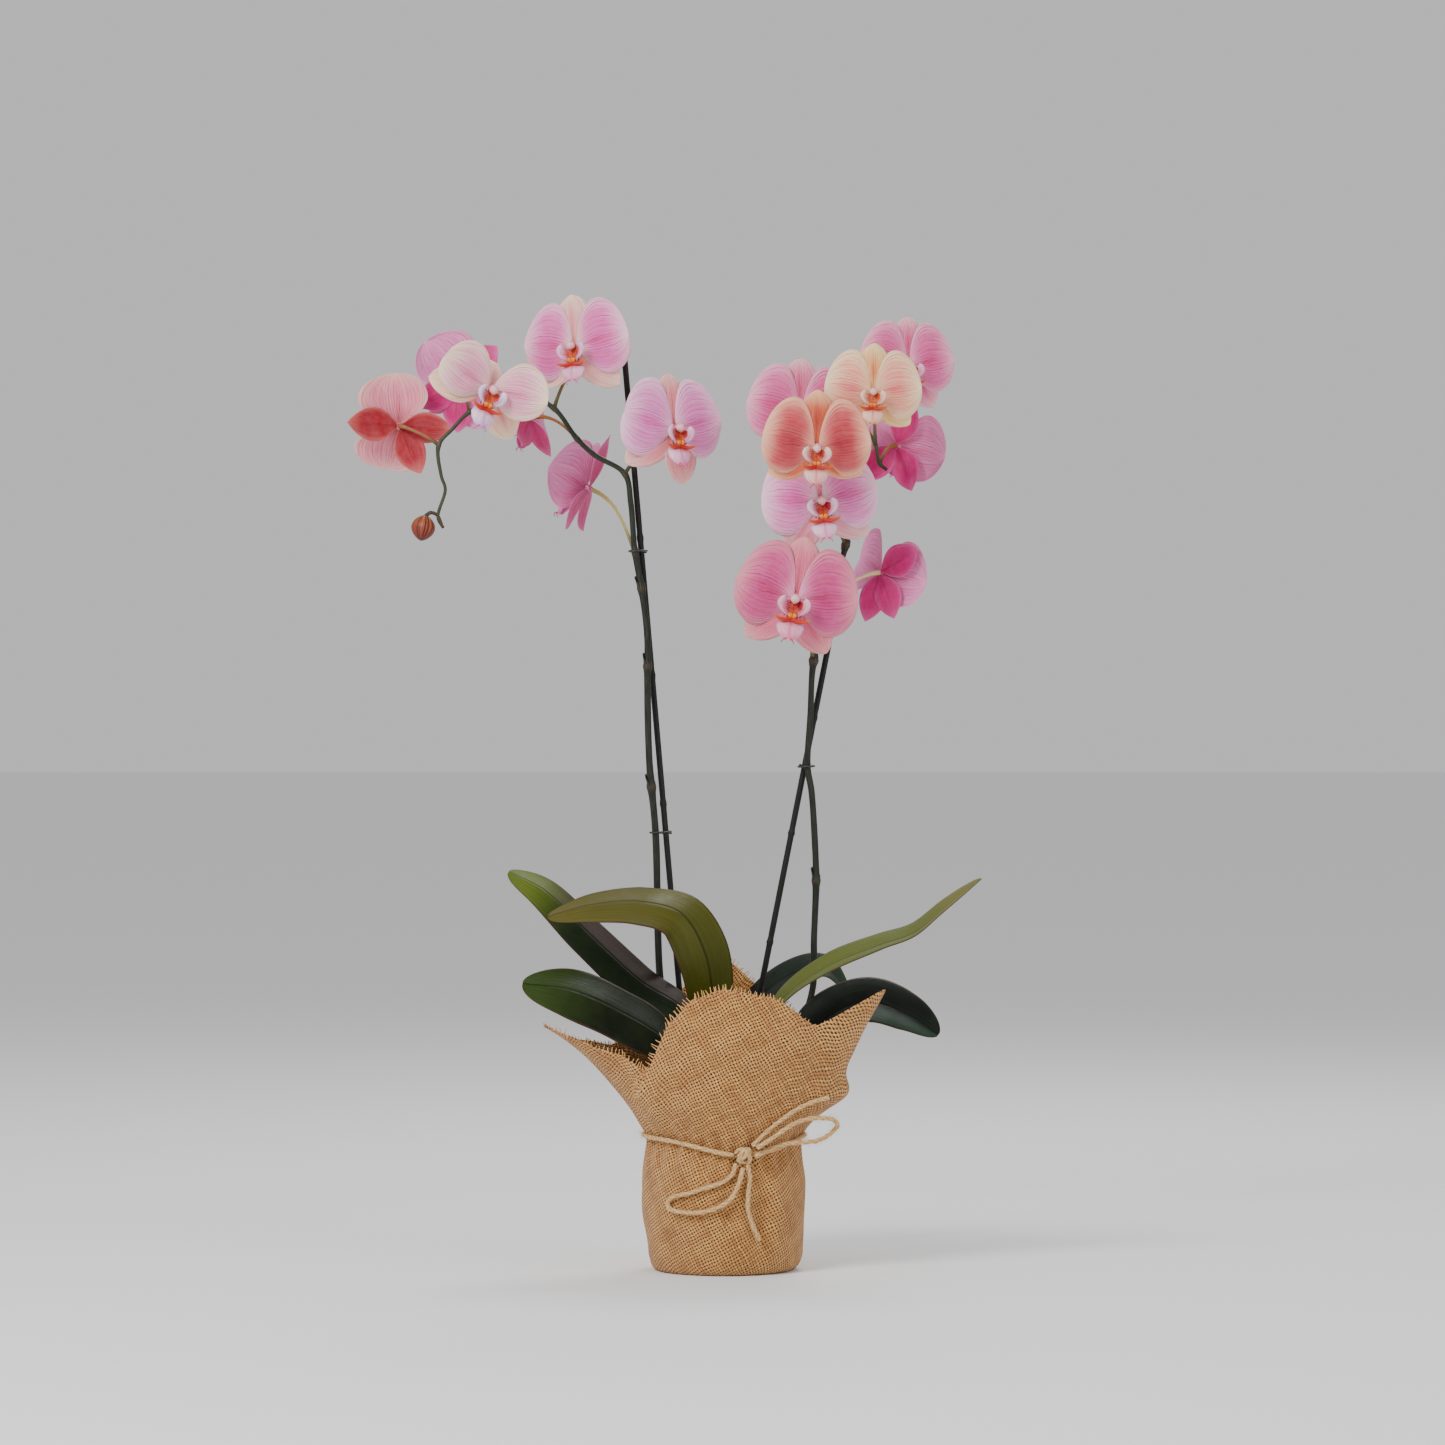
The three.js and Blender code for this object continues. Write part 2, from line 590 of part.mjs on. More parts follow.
for (const [name, { place, reach, turn }] of Object.entries(CLIPS)) {
  const ring = new THREE.TorusGeometry(1, 0.1, 5, 14).scale(reach[0], reach[1], CLIP_WIRE / 0.1);
  ring.rotateZ(rad(turn)).translate(...place);
  add(name, ring, finishes.clip);
}

// Twine: the tie round the waist, its knot, and the bow's two loops and two tails.
const TIE_OUT = TWINE_RADIUS + 0.8;
const KNOT_HALF = 7;
const tiePoints = [];
for (let i = 0; i <= 40; i++) {
  const angle = KNOT_ANGLE + KNOT_HALF + ((360 - 2 * KNOT_HALF) * i) / 40;
  tiePoints.push(onCloth(angle, waistHeight(angle), TIE_OUT));
}
add("twine_tie", cord(new THREE.CatmullRomCurve3(tiePoints), 44), finishes.twine);

const knotPlace = onCloth(KNOT_ANGLE, waistHeight(KNOT_ANGLE), 5.2);
add(
  "twine_knot",
  new THREE.SphereGeometry(1, 10, 8).scale(5.2, 4.2, 5.2).translate(...knotPlace.toArray()),
  finishes.twine,
);

// Each run starts at the knot: [angle round the pot, height, how far out from the cloth].
const BOW = {
  twine_loop_left: [
    [8, 84, 5], [6, 77, 4.5], [0, 71, 3.5], [-13, 66, 3], [-24, 62, 3], [-35, 59, 3.2], [-40, 55, 4], [-38, 50, 4.6],
    [-28, 48, 4.6], [-17, 48, 4.4], [-6, 51, 4.6], [4, 58, 5.4], [9, 68, 6.6], [12.5, 81, 7.6],
  ],
  twine_loop_right: [
    [21, 96, 9], [31, 104, 9], [38, 110, 9], [46, 115, 9], [56, 117, 14], [62, 115, 22], [66, 110, 26], [64, 104, 26],
    [57, 100, 24], [48, 99, 18], [38, 98, 10], [28, 93, 7.6], [21, 89.5, 7.4],
  ],
  twine_tail_down: [[16, 83, 6.5], [17.5, 74, 5], [16.5, 62, 3.4], [16.5, 50, 3], [20, 38, 3], [25, 27, 3.4]],
  twine_tail_up: [[19, 97.5, 5], [28, 108, 3.6], [36, 116, 3.2], [45, 124, 3], [53, 129, 3], [60, 132, 3.2]],
};

for (const [name, run] of Object.entries(BOW)) {
  const curve = new THREE.CatmullRomCurve3(run.map(([angle, z, out]) => onCloth(angle, z, out)));
  add(name, cord(curve, Math.round(curve.getLength() / 7)), finishes.twine);
}

export default orchid;
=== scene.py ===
import bpy
import math
from dataclasses import dataclass
import numpy as np
from mathutils import Matrix, Vector, noise


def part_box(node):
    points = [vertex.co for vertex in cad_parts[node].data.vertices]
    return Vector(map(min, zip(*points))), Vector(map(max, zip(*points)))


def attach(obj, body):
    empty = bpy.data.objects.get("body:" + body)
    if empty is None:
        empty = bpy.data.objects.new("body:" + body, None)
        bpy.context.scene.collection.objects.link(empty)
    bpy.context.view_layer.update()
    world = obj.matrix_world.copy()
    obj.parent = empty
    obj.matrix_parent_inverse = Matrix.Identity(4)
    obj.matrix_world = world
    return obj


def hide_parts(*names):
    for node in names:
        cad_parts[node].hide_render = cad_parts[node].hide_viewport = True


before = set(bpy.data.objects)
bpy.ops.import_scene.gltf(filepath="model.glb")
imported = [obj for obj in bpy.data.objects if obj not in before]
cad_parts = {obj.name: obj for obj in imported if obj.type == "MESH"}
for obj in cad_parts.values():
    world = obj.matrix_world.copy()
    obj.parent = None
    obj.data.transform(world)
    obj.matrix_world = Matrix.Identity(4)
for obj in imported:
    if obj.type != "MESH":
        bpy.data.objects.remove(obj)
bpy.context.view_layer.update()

# The camera stands level with the middle of the plant, four metres in front of it.
MM = 0.001
VIEW_WIDTH = 1.08375
CAMERA_DISTANCE = 4.0
camera_data = bpy.data.cameras.new("camera")
camera_data.sensor_width = 36.0
camera_data.lens = camera_data.sensor_width * CAMERA_DISTANCE / VIEW_WIDTH
camera = bpy.data.objects.new("camera", camera_data)
CAMERA_HEIGHT = 0.410
camera.location = (-0.001, -CAMERA_DISTANCE, CAMERA_HEIGHT)
camera.rotation_euler = (math.pi / 2, 0, 0)
bpy.context.collection.objects.link(camera)
bpy.context.scene.camera = camera

# The studio: a pale floor under a white sky, a broad soft lamp at the upper left, a weaker one at the
# right, and one behind that lights the edges of the petals.
floor_mesh = bpy.data.meshes.new("studio_floor")
FLOOR_REACH = 40.0
floor_corners = [(x * FLOOR_REACH, y * FLOOR_REACH, 0) for x, y in ((-1, -1), (1, -1), (1, 1), (-1, 1))]
floor_mesh.from_pydata(floor_corners, [], [(0, 1, 2, 3)])
floor = bpy.data.objects.new("studio_floor", floor_mesh)
bpy.context.collection.objects.link(floor)
floor_paint = bpy.data.materials.new("pale_floor")
floor_paint.use_nodes = True
floor_shader = floor_paint.node_tree.nodes["Principled BSDF"]
floor_shader.inputs["Base Color"].default_value = (0.86, 0.86, 0.86, 1)
floor_shader.inputs["Roughness"].default_value = 0.9
floor_mesh.materials.append(floor_paint)

sky = bpy.data.worlds.new("white_sky")
sky.use_nodes = True
sky.node_tree.nodes["Background"].inputs["Color"].default_value = (1, 1, 1, 1)
sky.node_tree.nodes["Background"].inputs["Strength"].default_value = 0.62
bpy.context.scene.world = sky

for name, place, size, power in [
    ("soft_lamp_left", (-1.3, -1.9, 1.9), 0.9, 62),
    ("soft_lamp_right", (1.7, -1.5, 0.8), 1.0, 10),
    ("soft_lamp_back", (0.5, 1.5, 2.1), 1.0, 24),
]:
    lamp = bpy.data.lights.new(name, "AREA")
    lamp.size = size
    lamp.energy = power
    stand = bpy.data.objects.new(name, lamp)
    stand.location = place
    stand.rotation_euler = (Vector((0, 0, 0.4)) - Vector(place)).to_track_quat("-Z", "Y").to_euler()
    bpy.context.collection.objects.link(stand)


# Grow pot: a thin moulded plastic pot with a lip and drainage holes, hidden by the cloth except for its
# lip, which shows from above. Its solid keeps its shape and gets a scuffed satin plastic.
def colour(r, g, b):
    """A colour as it is seen, 0 to 255, made linear."""
    linear = [c / 255 / 12.92 if c <= 10 else ((c / 255 + 0.055) / 1.055) ** 2.4 for c in (r, g, b)]
    return (*linear, 1.0)


def tone_of(r, g, b):
    return np.array(colour(r, g, b)[:3])


def node(tree, kind, inputs=None, **settings):
    made = tree.nodes.new(kind)
    for key, value in settings.items():
        setattr(made, key, value)
    for key, value in (inputs or {}).items():
        socket = made.inputs[key]
        if isinstance(value, bpy.types.NodeSocket):
            tree.links.new(value, socket)
        else:
            socket.default_value = value
    return made


def calc(tree, operation, a, b=0.0, c=0.0):
    return node(tree, "ShaderNodeMath", {0: a, 1: b, 2: c}, operation=operation).outputs[0]


def times(tree, a, b):
    return calc(tree, "MULTIPLY", a, b)


def remap(tree, value, low, high, to_low=0.0, to_high=1.0):
    span = {"Value": value, "From Min": low, "From Max": high, "To Min": to_low, "To Max": to_high}
    return node(tree, "ShaderNodeMapRange", span).outputs[0]


def blend(tree, factor, a, b, how="MIX"):
    made = node(tree, "ShaderNodeMix", {"Factor": factor, 6: a, 7: b}, data_type="RGBA", blend_type=how)
    return made.outputs[2]


def place_of(tree):
    return node(tree, "ShaderNodeTexCoord").outputs["Object"]


def cloud(tree, vector, scale, detail=3.0, rough=0.55, out="Fac"):
    inputs = {"Vector": vector, "Scale": scale, "Detail": detail, "Roughness": rough}
    return node(tree, "ShaderNodeTexNoise", inputs).outputs[out]


def stretched(tree, vector, scale):
    return node(tree, "ShaderNodeMapping", {"Vector": vector, "Scale": scale}).outputs[0]


def new_material(name, **constants):
    material = bpy.data.materials.new(name)
    material.use_nodes = True
    tree = material.node_tree
    shader = tree.nodes["Principled BSDF"]
    for key, value in constants.items():
        shader.inputs[key.replace("_", " ")].default_value = value
    return material, tree, shader


def finish_surface(tree, shader, base, mask, rough, depth=0.0, height=None):
    """Links the base colour, a roughness between the two given that follows mask, and bumps of this depth."""
    tree.links.new(base, shader.inputs["Base Color"])
    tree.links.new(remap(tree, mask, 0.3, 0.7, *rough), shader.inputs["Roughness"])
    if depth:
        bump = node(tree, "ShaderNodeBump", {"Height": height or mask, "Distance": depth})
        tree.links.new(bump.outputs[0], shader.inputs["Normal"])


pot_plastic, tree, shader = new_material("scuffed_pot_plastic", Specular_IOR_Level=0.45)
where = place_of(tree)
scuffs = cloud(tree, where, 220.0, 5.0)
finish_surface(
    tree, shader,
    blend(tree, remap(tree, scuffs, 0.4, 0.75), colour(58, 52, 46), colour(92, 84, 74)),
    scuffs, (0.35, 0.6), 0.0002,
)


def repaint(name, material):
    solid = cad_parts[name].data
    solid.materials.clear()
    solid.materials.append(material)


repaint("grow_pot", pot_plastic)

# Bark mix: pine bark chips heaped in the pot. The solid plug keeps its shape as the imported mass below,
# and loose chips lie over its top.
bark, tree, shader = new_material("damp_bark", Specular_IOR_Level=0.3)
where = place_of(tree)
grain = stretched(tree, where, (140.0, 420.0, 260.0))
streaks = cloud(tree, grain, 1.0, 5.0, 0.65)
patches = cloud(tree, where, 70.0, 2.0)
bark_tone = blend(tree, remap(tree, patches, 0.35, 0.65), colour(70, 44, 28), colour(128, 86, 54))
finish_surface(
    tree, shader,
    blend(tree, remap(tree, streaks, 0.3, 0.8), bark_tone, colour(38, 24, 16)),
    streaks, (0.7, 0.95), 0.0012,
)
repaint("bark_mix", bark)


def show(name, mesh):
    piece = bpy.data.objects.new(name, mesh)
    bpy.context.collection.objects.link(piece)
    return piece


def mesh_piece(name, vertices, faces, material=None, smooth=True):
    mesh = bpy.data.meshes.new(name)
    mesh.from_pydata([tuple(v) for v in vertices], [], faces)
    if material:
        mesh.materials.append(material)
    if smooth:
        mesh.shade_smooth()
    return show(name, mesh)


def scatter_tree(name, item, material):
    """Copies of item on a mesh's points, each turned to the point's own direction and given its own size."""
    made = bpy.data.node_groups.new(name, "GeometryNodeTree")
    made.interface.new_socket("Geometry", in_out="INPUT", socket_type="NodeSocketGeometry")
    made.interface.new_socket("Geometry", in_out="OUTPUT", socket_type="NodeSocketGeometry")
    for label, value in (("Spread", 0.3), ("Wobble", 0.0), ("Wobble scale", 200.0)):
        socket = made.interface.new_socket(label, in_out="INPUT", socket_type="NodeSocketFloat")
        socket.default_value = value
    seed = made.interface.new_socket("Seed", in_out="INPUT", socket_type="NodeSocketInt")
    seed.default_value = 3
    start, end = made.nodes.new("NodeGroupInput").outputs, made.nodes.new("NodeGroupOutput")

    def put(kind, inputs=None, out=0, **settings):
        return node(made, kind, inputs, **settings).outputs[out]

    def vector(operation, a, b):
        return put("ShaderNodeVectorMath", {0: a, 1: b}, operation=operation)

    way = put("GeometryNodeInputNamedAttribute", {"Name": "way"}, data_type="FLOAT_VECTOR")
    size = put("GeometryNodeInputNamedAttribute", {"Name": "size"}, data_type="FLOAT_VECTOR")
    turned = put("FunctionNodeAlignRotationToVector", {"Vector": way}, axis="Z")
    limits = {"Min": (0, 0, 0), "Max": (1, 1, 1), "Seed": start["Seed"]}
    jitter = vector("SUBTRACT", put("FunctionNodeRandomValue", limits, data_type="FLOAT_VECTOR"), (0.5, 0.5, 0.5))
    spread = put("ShaderNodeCombineXYZ", {"X": start["Spread"], "Y": start["Spread"], "Z": 6.28})
    swung = put("FunctionNodeEulerToRotation", {0: vector("MULTIPLY", jitter, spread)})
    both = put("FunctionNodeRotateRotation", {0: turned, 1: swung}, rotation_space="LOCAL")
    copies = {"Points": start["Geometry"], "Instance": put("GeometryNodeObjectInfo", {"Object": item}, "Geometry")}
    placed = put("GeometryNodeInstanceOnPoints", {**copies, "Rotation": both, "Scale": size})
    real = put("GeometryNodeRealizeInstances", {"Geometry": placed})
    here = {"Vector": put("GeometryNodeInputPosition"), "Scale": start["Wobble scale"], "Detail": 1.0}
    level = vector("SUBTRACT", put("ShaderNodeTexNoise", here, "Color"), (0.5, 0.5, 0.5))
    push = put("ShaderNodeVectorMath", {0: level, "Scale": start["Wobble"]}, operation="SCALE")
    moved = put("GeometryNodeSetPosition", {"Geometry": real, "Offset": push})
    made.links.new(put("GeometryNodeSetMaterial", {"Geometry": moved, "Material": material}), end.inputs[0])
    return made


def scatter(name, points, ways, sizes, item, material, **settings):
    """A plain mesh of the copies of item at these points."""
    seeds = mesh_piece(name + "_seeds", points, [])
    for label, values in (("way", ways), ("size", sizes)):
        held = seeds.data.attributes.new(label, "FLOAT_VECTOR", "POINT")
        held.data.foreach_set("vector", np.asarray(values, dtype=np.float32).ravel())
    spread = seeds.modifiers.new("scatter", "NODES")
    spread.node_group = scatter_tree(name + "_scatter", item, material)
    for socket in spread.node_group.interface.items_tree:
        if socket.in_out == "INPUT" and socket.name in settings:
            spread[socket.identifier] = settings[socket.name]
    result = bpy.data.meshes.new_from_object(seeds.evaluated_get(bpy.context.evaluated_depsgraph_get()))
    result.name = name
    bpy.data.objects.remove(seeds)
    return show(name, result)


def chip_mesh():
    """One chip: a flat splinter with broken corners, 1 across."""
    random = np.random.default_rng(11)
    vertices = []
    for layer, share in ((-1, 0.86), (0, 1.0), (1, 0.8)):
        for k in range(7):
            a = 2 * math.pi * k / 7
            r = share * (0.42 + 0.1 * random.random())
            vertices.append((r * math.cos(a) * 1.25, r * math.sin(a) * 0.8, 0.13 * layer + 0.05 * random.random()))
    faces = [tuple(range(6, -1, -1)), tuple(range(14, 21))]
    for layer in (0, 7):
        for k in range(7):
            faces.append((layer + k, layer + (k + 1) % 7, layer + 7 + (k + 1) % 7, layer + 7 + k))
    return mesh_piece("bark_chip_pattern", vertices, faces, bark, smooth=False)


chip = chip_mesh()
bark_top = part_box("bark_mix")[1][2]
random = np.random.default_rng(5)
CHIPS, BED_RADIUS, SUNFLOWER_TURN = 230, 0.0455, 2.39996
chip_points, chip_ways, chip_sizes = [], [], []
for k in range(CHIPS):
    r = BED_RADIUS * math.sqrt((k + 0.5) / CHIPS)
    a = k * SUNFLOWER_TURN
    top = bark_top - 0.006 * (r / 0.048) ** 2
    chip_points.append((r * math.cos(a), r * math.sin(a), top - 0.001 + 0.002 * random.random()))
    chip_ways.append((0.5 * random.normal(), 0.5 * random.normal(), 1.0))
    across = 0.009 + 0.009 * random.random()
    chip_sizes.append((across, across, across * (0.7 + 0.8 * random.random())))
chips = scatter("bark_chips", chip_points, chip_ways, chip_sizes, chip, bark, Spread=0.9)
bpy.data.objects.remove(chip)
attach(chips, "root")


# Crown and roots: the short stump that leaves and spikes grow from, wrapped in the leaves' bases, and
# silvery aerial roots with green tips that run out over the bark.
def run_through(points, spacing):
    """Points spaced evenly along a smooth curve through the given ones, both in metres."""
    p = np.asarray(points, dtype=float)
    ends = np.vstack([2 * p[0] - p[1], p, 2 * p[-1] - p[-2]])
    dense = []
    for k in range(1, len(ends) - 2):
        a, b, c, d = ends[k - 1 : k + 3]
        t0, t1, t2 = (max(np.linalg.norm(y - x), 1e-9) ** 0.5 for x, y in ((a, b), (b, c), (c, d)))
        m1 = ((b - a) / t0 - (c - a) / (t0 + t1) + (c - b) / t1) * t1
        m2 = ((c - b) / t1 - (d - b) / (t1 + t2) + (d - c) / t2) * t1
        s = np.linspace(0, 1, 24, endpoint=False)[:, None]
        dense.append(
            (2 * s**3 - 3 * s**2 + 1) * b + (s**3 - 2 * s**2 + s) * m1 + (3 * s**2 - 2 * s**3) * c + (s**3 - s**2) * m2
        )
    dense = np.vstack(dense + [p[-1:]])
    gone = np.concatenate([[0], np.cumsum(np.linalg.norm(np.diff(dense, axis=0), axis=1))])
    count = max(2, int(round(gone[-1] / spacing)) + 1)
    even = np.linspace(0, gone[-1], count)
    return np.column_stack([np.interp(even, gone, dense[:, k]) for k in range(3)])


def frames_along(line):
    """Unit tangents, and two unit vectors square to them that don't spin."""
    ahead = np.gradient(line, axis=0)
    ahead /= np.linalg.norm(ahead, axis=1)[:, None]
    side = np.cross(ahead[0], (0.0, 0.0, 1.0) if abs(ahead[0][2]) < 0.9 else (1.0, 0.0, 0.0))
    sides = []
    for t in ahead:
        side = side - t * side.dot(t)
        side = side / np.linalg.norm(side)
        sides.append(side)
    sides = np.array(sides)
    return ahead, sides, np.cross(ahead, sides)


class Parts:
    """Vertices, faces, colours and UVs of one piece, gathered part by part."""

    def __init__(self):
        self.vertices, self.faces, self.tones, self.maps = [], [], [], []
        self.count = 0

    def add(self, vertices, tones, faces, maps):
        self.vertices.append(np.asarray(vertices, dtype=float).reshape(-1, 3))
        tones = np.asarray(tones, dtype=float)
        if tones.ndim == 1:
            tones = np.tile(tones, (len(self.vertices[-1]), 1))
        self.tones.append(tones.reshape(-1, tones.shape[-1])[:, :3])
        self.faces += [tuple(self.count + k for k in face) for face in faces]
        self.maps += maps
        self.count += len(self.vertices[-1])

    def make(self, name, material):
        piece = mesh_piece(name, np.vstack(self.vertices), self.faces, material)
        tones = np.vstack(self.tones)
        held = piece.data.attributes.new("tone", "FLOAT_COLOR", "POINT")
        held.data.foreach_set("color", np.column_stack([tones, np.ones(len(tones))]).astype(np.float32).ravel())
        flat = [pair for face in self.maps for pair in face]
        layer = piece.data.uv_layers.new(name="surface")
        layer.data.foreach_set("uv", np.asarray(flat, dtype=np.float32).ravel())
        return piece


def add_tube(parts, line, radii, tone, sides=10, lobes=None, grooves=None):
    """A closed round stem along line. lobes(along, around) swells it; grooves is the painted shade between the lobes.
    """
    ahead, side, other = frames_along(line)
    count = len(line)
    radii = np.broadcast_to(np.asarray(radii, dtype=float), (count,))
    gone = np.concatenate([[0], np.cumsum(np.linalg.norm(np.diff(line, axis=0), axis=1))])
    angles = 2 * math.pi * np.arange(sides) / sides
    swell = np.ones((count, sides)) if lobes is None else lobes(gone[:, None], angles[None, :])
    cos, sin = np.cos(angles)[None, :, None], np.sin(angles)[None, :, None]
    ring = line[:, None, :] + (radii[:, None] * swell)[:, :, None] * (cos * side[:, None, :] + sin * other[:, None, :])
    near, far = line[:1] - ahead[:1] * radii[0] * 0.3, line[-1:] + ahead[-1:] * radii[-1] * 0.3
    vertices = np.vstack([ring.reshape(-1, 3), near, far])
    faces, maps = [], []
    for i in range(count - 1):
        for j in range(sides):
            k, u, v = (j + 1) % sides, j / sides, (j + 1) / sides
            faces.append((i * sides + j, i * sides + k, (i + 1) * sides + k, (i + 1) * sides + j))
            maps.append([(gone[i], u), (gone[i], v), (gone[i + 1], v), (gone[i + 1], u)])
    for j in range(sides):
        k = (j + 1) % sides
        faces.append((count * sides, k, j))
        maps.append([(gone[0], j / sides)] * 3)
        faces.append((count * sides + 1, (count - 1) * sides + j, (count - 1) * sides + k))
        maps.append([(gone[-1], j / sides)] * 3)
    tone = np.asarray(tone, dtype=float)[..., :3]
    if tone.ndim == 2:
        tone = np.repeat(tone[:, None], sides, axis=1)
    tone = np.broadcast_to(tone, (count, sides, 3))
    if grooves is not None:
        low, high = swell.min(), swell.max()
        share = ((swell - low) / (high - low))[:, :, None]
        tone = np.asarray(grooves)[:3] * (1 - share) + tone * share
    parts.add(vertices, np.vstack([tone.reshape(-1, 3), tone[0, :1], tone[-1, :1]]), faces, maps)


def tone_attribute(tree):
    return node(tree, "ShaderNodeAttribute", attribute_name="tone").outputs["Color"]


def uv_of(tree):
    return node(tree, "ShaderNodeUVMap", uv_map="surface").outputs[0]


root_skin, tree, shader = new_material("root_skin", Specular_IOR_Level=0.3)
where = place_of(tree)
mottle = cloud(tree, where, 380.0, 4.0)
finish_surface(
    tree, shader,
    blend(tree, remap(tree, mottle, 0.35, 0.7, 0.0, 0.5), tone_attribute(tree), colour(196, 200, 172)),
    mottle, (0.55, 0.85), 0.0004,
)
crown_parts = Parts()
stump = run_through([(0, 0, bark_top), (0, 0, bark_top + 0.006), (0.0005, 0, bark_top + 0.0125)], 0.0006)
add_tube(
    crown_parts,
    stump,
    np.linspace(0.0088, 0.007, len(stump)),
    tone_of(112, 118, 70),
    24,
    lambda along, around: 1 + 0.05 * np.sin(along * 2100) + 0.04 * np.sin(3 * around),
)
ROOTS = [
    [(0, -6, 5), (6, -22, 6), (14, -34, 2), (22, -41, 1.5)],
    [(-5, -4, 5), (-20, -16, 6), (-32, -22, 2), (-44, -18, 1.5)],
    [(2, 6, 5), (-4, 22, 5), (-6, 34, 2), (4, 43, 1.5)],
]
for k, root in enumerate(ROOTS):
    line = run_through([(x * MM, y * MM, bark_top + z * MM) for x, y, z in root], 0.0011)
    share = np.linspace(0, 1, len(line))
    tip = np.clip((share - 0.86) / 0.14, 0, 1)[:, None]
    tones = tone_of(168, 172, 140) * (1 - tip) + tone_of(96, 120, 52) * tip
    thick = (2.7 - 0.8 * share + 0.22 * np.sin(share * 31 + k) + 0.12 * np.sin(share * 67)) * MM
    thick *= np.sqrt(np.clip((1.02 - share) / 0.05, 0.05, 1))
    add_tube(crown_parts, line, thick, tones, 12)
crown = crown_parts.make("crown_roots", root_skin)
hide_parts("crown_and_roots")
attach(crown, "root")


# Jute cloth: one piece of coarse, open plain weave gathered up round the pot and held by the tie. Its top
# edge is domed in front, pointed at the right, pulled out in a long flap at the left, and frayed.
CLOTH_EDGE = [
    (0, 82, 214, 1), (25, 84, 208, 1), (48, 92, 186, 0.8), (72, 126, 212, 0.5), (82, 108, 187, 0.5),
    (96, 96, 168, 0.6), (125, 88, 165, 0.8), (152, 84, 200, 0.9), (180, 78, 229, 0.9), (208, 82, 204, 0.8),
    (245, 96, 166, 0.6), (266, 116, 172, 0.2), (280, 136, 184, 0), (300, 96, 165, 0.4), (316, 80, 152, 0.9),
    (332, 82, 190, 1), (345, 82, 207, 1), (360, 82, 214, 1),
]
CLOTH_BASE, CLOTH_WAIST, CLOTH_BODY = 48, 57.5, 60.5
WAIST_HEIGHT, WAIST_DIP = 101, 11
KNOT_ANGLE = 14


def ease(x, low, high):
    """A soft step from 0 at low to 1 at high."""
    t = np.clip((x - low) / (high - low), 0, 1)
    return t * t * (3 - 2 * t)


def bell(x):
    return np.exp(-(x**2))


def cloth_edge(angle):
    turned = angle % 360
    keys = [key[0] for key in CLOTH_EDGE]
    k = max(1, next(i for i, key in enumerate(keys) if key > turned))
    a, b = CLOTH_EDGE[k - 1], CLOTH_EDGE[k]
    t = (turned - a[0]) / (b[0] - a[0])
    t = 0.6 * float(ease(t, 0, 1)) + 0.4 * t
    return [a[i] + (b[i] - a[i]) * t for i in (1, 2, 3)]


def from_knot(angle):
    return (angle - KNOT_ANGLE + 540) % 360 - 180


def waist_height(angle):
    return WAIST_HEIGHT - WAIST_DIP * bell(from_knot(angle) / 38)


def cloth_radius(angle, z):
    angle %= 360
    waist = waist_height(angle)
    if z <= waist:
        corner = CLOTH_BASE + (58.5 - CLOTH_BASE) * math.sqrt(1 - (1 - min(z, 14) / 14) ** 2)
        body = (CLOTH_BODY - 58.5) * float(ease(z, 14, 50))
        pull = (CLOTH_BODY - CLOTH_WAIST) * float(ease(z, waist - 36, waist))
        slack = 3.5 * max(0, 1 - z / 50) ** 2 * max(0, -math.sin(math.radians(angle)))
        return corner + body - pull - slack * min(1, z / 8)
    radius, height, dome = cloth_edge(angle)
    s = min(1, (z - waist) / (height - waist))
    rise = dome * (1 - (1 - s) ** 2) + (1 - dome) * (0.6 * s + 0.4 * s**3)
    lump = 15 * math.exp(-(((angle - 78) / 20) ** 2) - ((z - 133) / 13) ** 2)
    return CLOTH_WAIST + (radius - CLOTH_WAIST) * rise + lump


def on_cloth(angle, z, out=0.0):
    """The point of the cloth's face at this angle round the pot and this height, in metres."""
    a = math.radians(angle)
    r = cloth_radius(angle, z) + out
    return np.array((r * math.sin(a), -r * math.cos(a), z)) * MM


def lap_angle(z):
    """Where the front flap's edge lies over the left flap, below the notch between them."""
    return 316 - 0.42 * (152 - z)


# Folds between the flaps: the angle each lies at, its half width there, and its depth in mm.
FOLDS = [(112, 7, 7), (134, 6, 5), (236, 7, 6), (256, 6, 6), (212, 6, 3), (166, 5, 3), (304, 4, 2.5)]


def cloth_relief(angle, z):
    """How far folds move the cloth out, in mm: gathers at the tie, folds between the flaps, soft dents."""
    angle %= 360
    a = math.radians(angle)
    waist = waist_height(angle)
    near = bell((z - waist) / 16)
    gathers = 1.3 * near * (math.sin(29 * a + 1.2 * math.sin(3 * a)) - 1)
    up = max(0.0, z - waist - 4) / 90
    fold = 0.0
    for centre, width, depth in FOLDS:
        gap = (angle - centre + 540) % 360 - 180
        fold -= depth * min(1, up * 1.6) * bell(gap / width)
    spot = Vector((math.cos(a) * 1.9, math.sin(a) * 1.9, z / 34))
    soft = 1.8 * noise.noise(spot) * min(1, z / 14) * (1 - near)
    dent = -5.2 * math.exp(-(((angle - 27) / 8) ** 2) - ((z - 44) / 24) ** 2)
    dent += 1.2 * math.exp(-(((angle - 43) / 9) ** 2) - ((z - 50) / 26) ** 2)
    dent -= 2.6 * math.exp(-(((angle - 2 + 0.35 * (z - 40)) / 6) ** 2) - ((z - 48) / 22) ** 2)
    lap = lap_angle(z)
    lapped = float(ease(z, 108, 128)) if 270 < angle < 356 else 0.0
    over = float(ease(angle, lap - 1.6, lap + 0.4)) - 0.5
    lapped *= 3.6 * over * (1 - float(ease(abs(angle - lap), 8, 34)))
    return gathers + fold + soft + dent + lapped


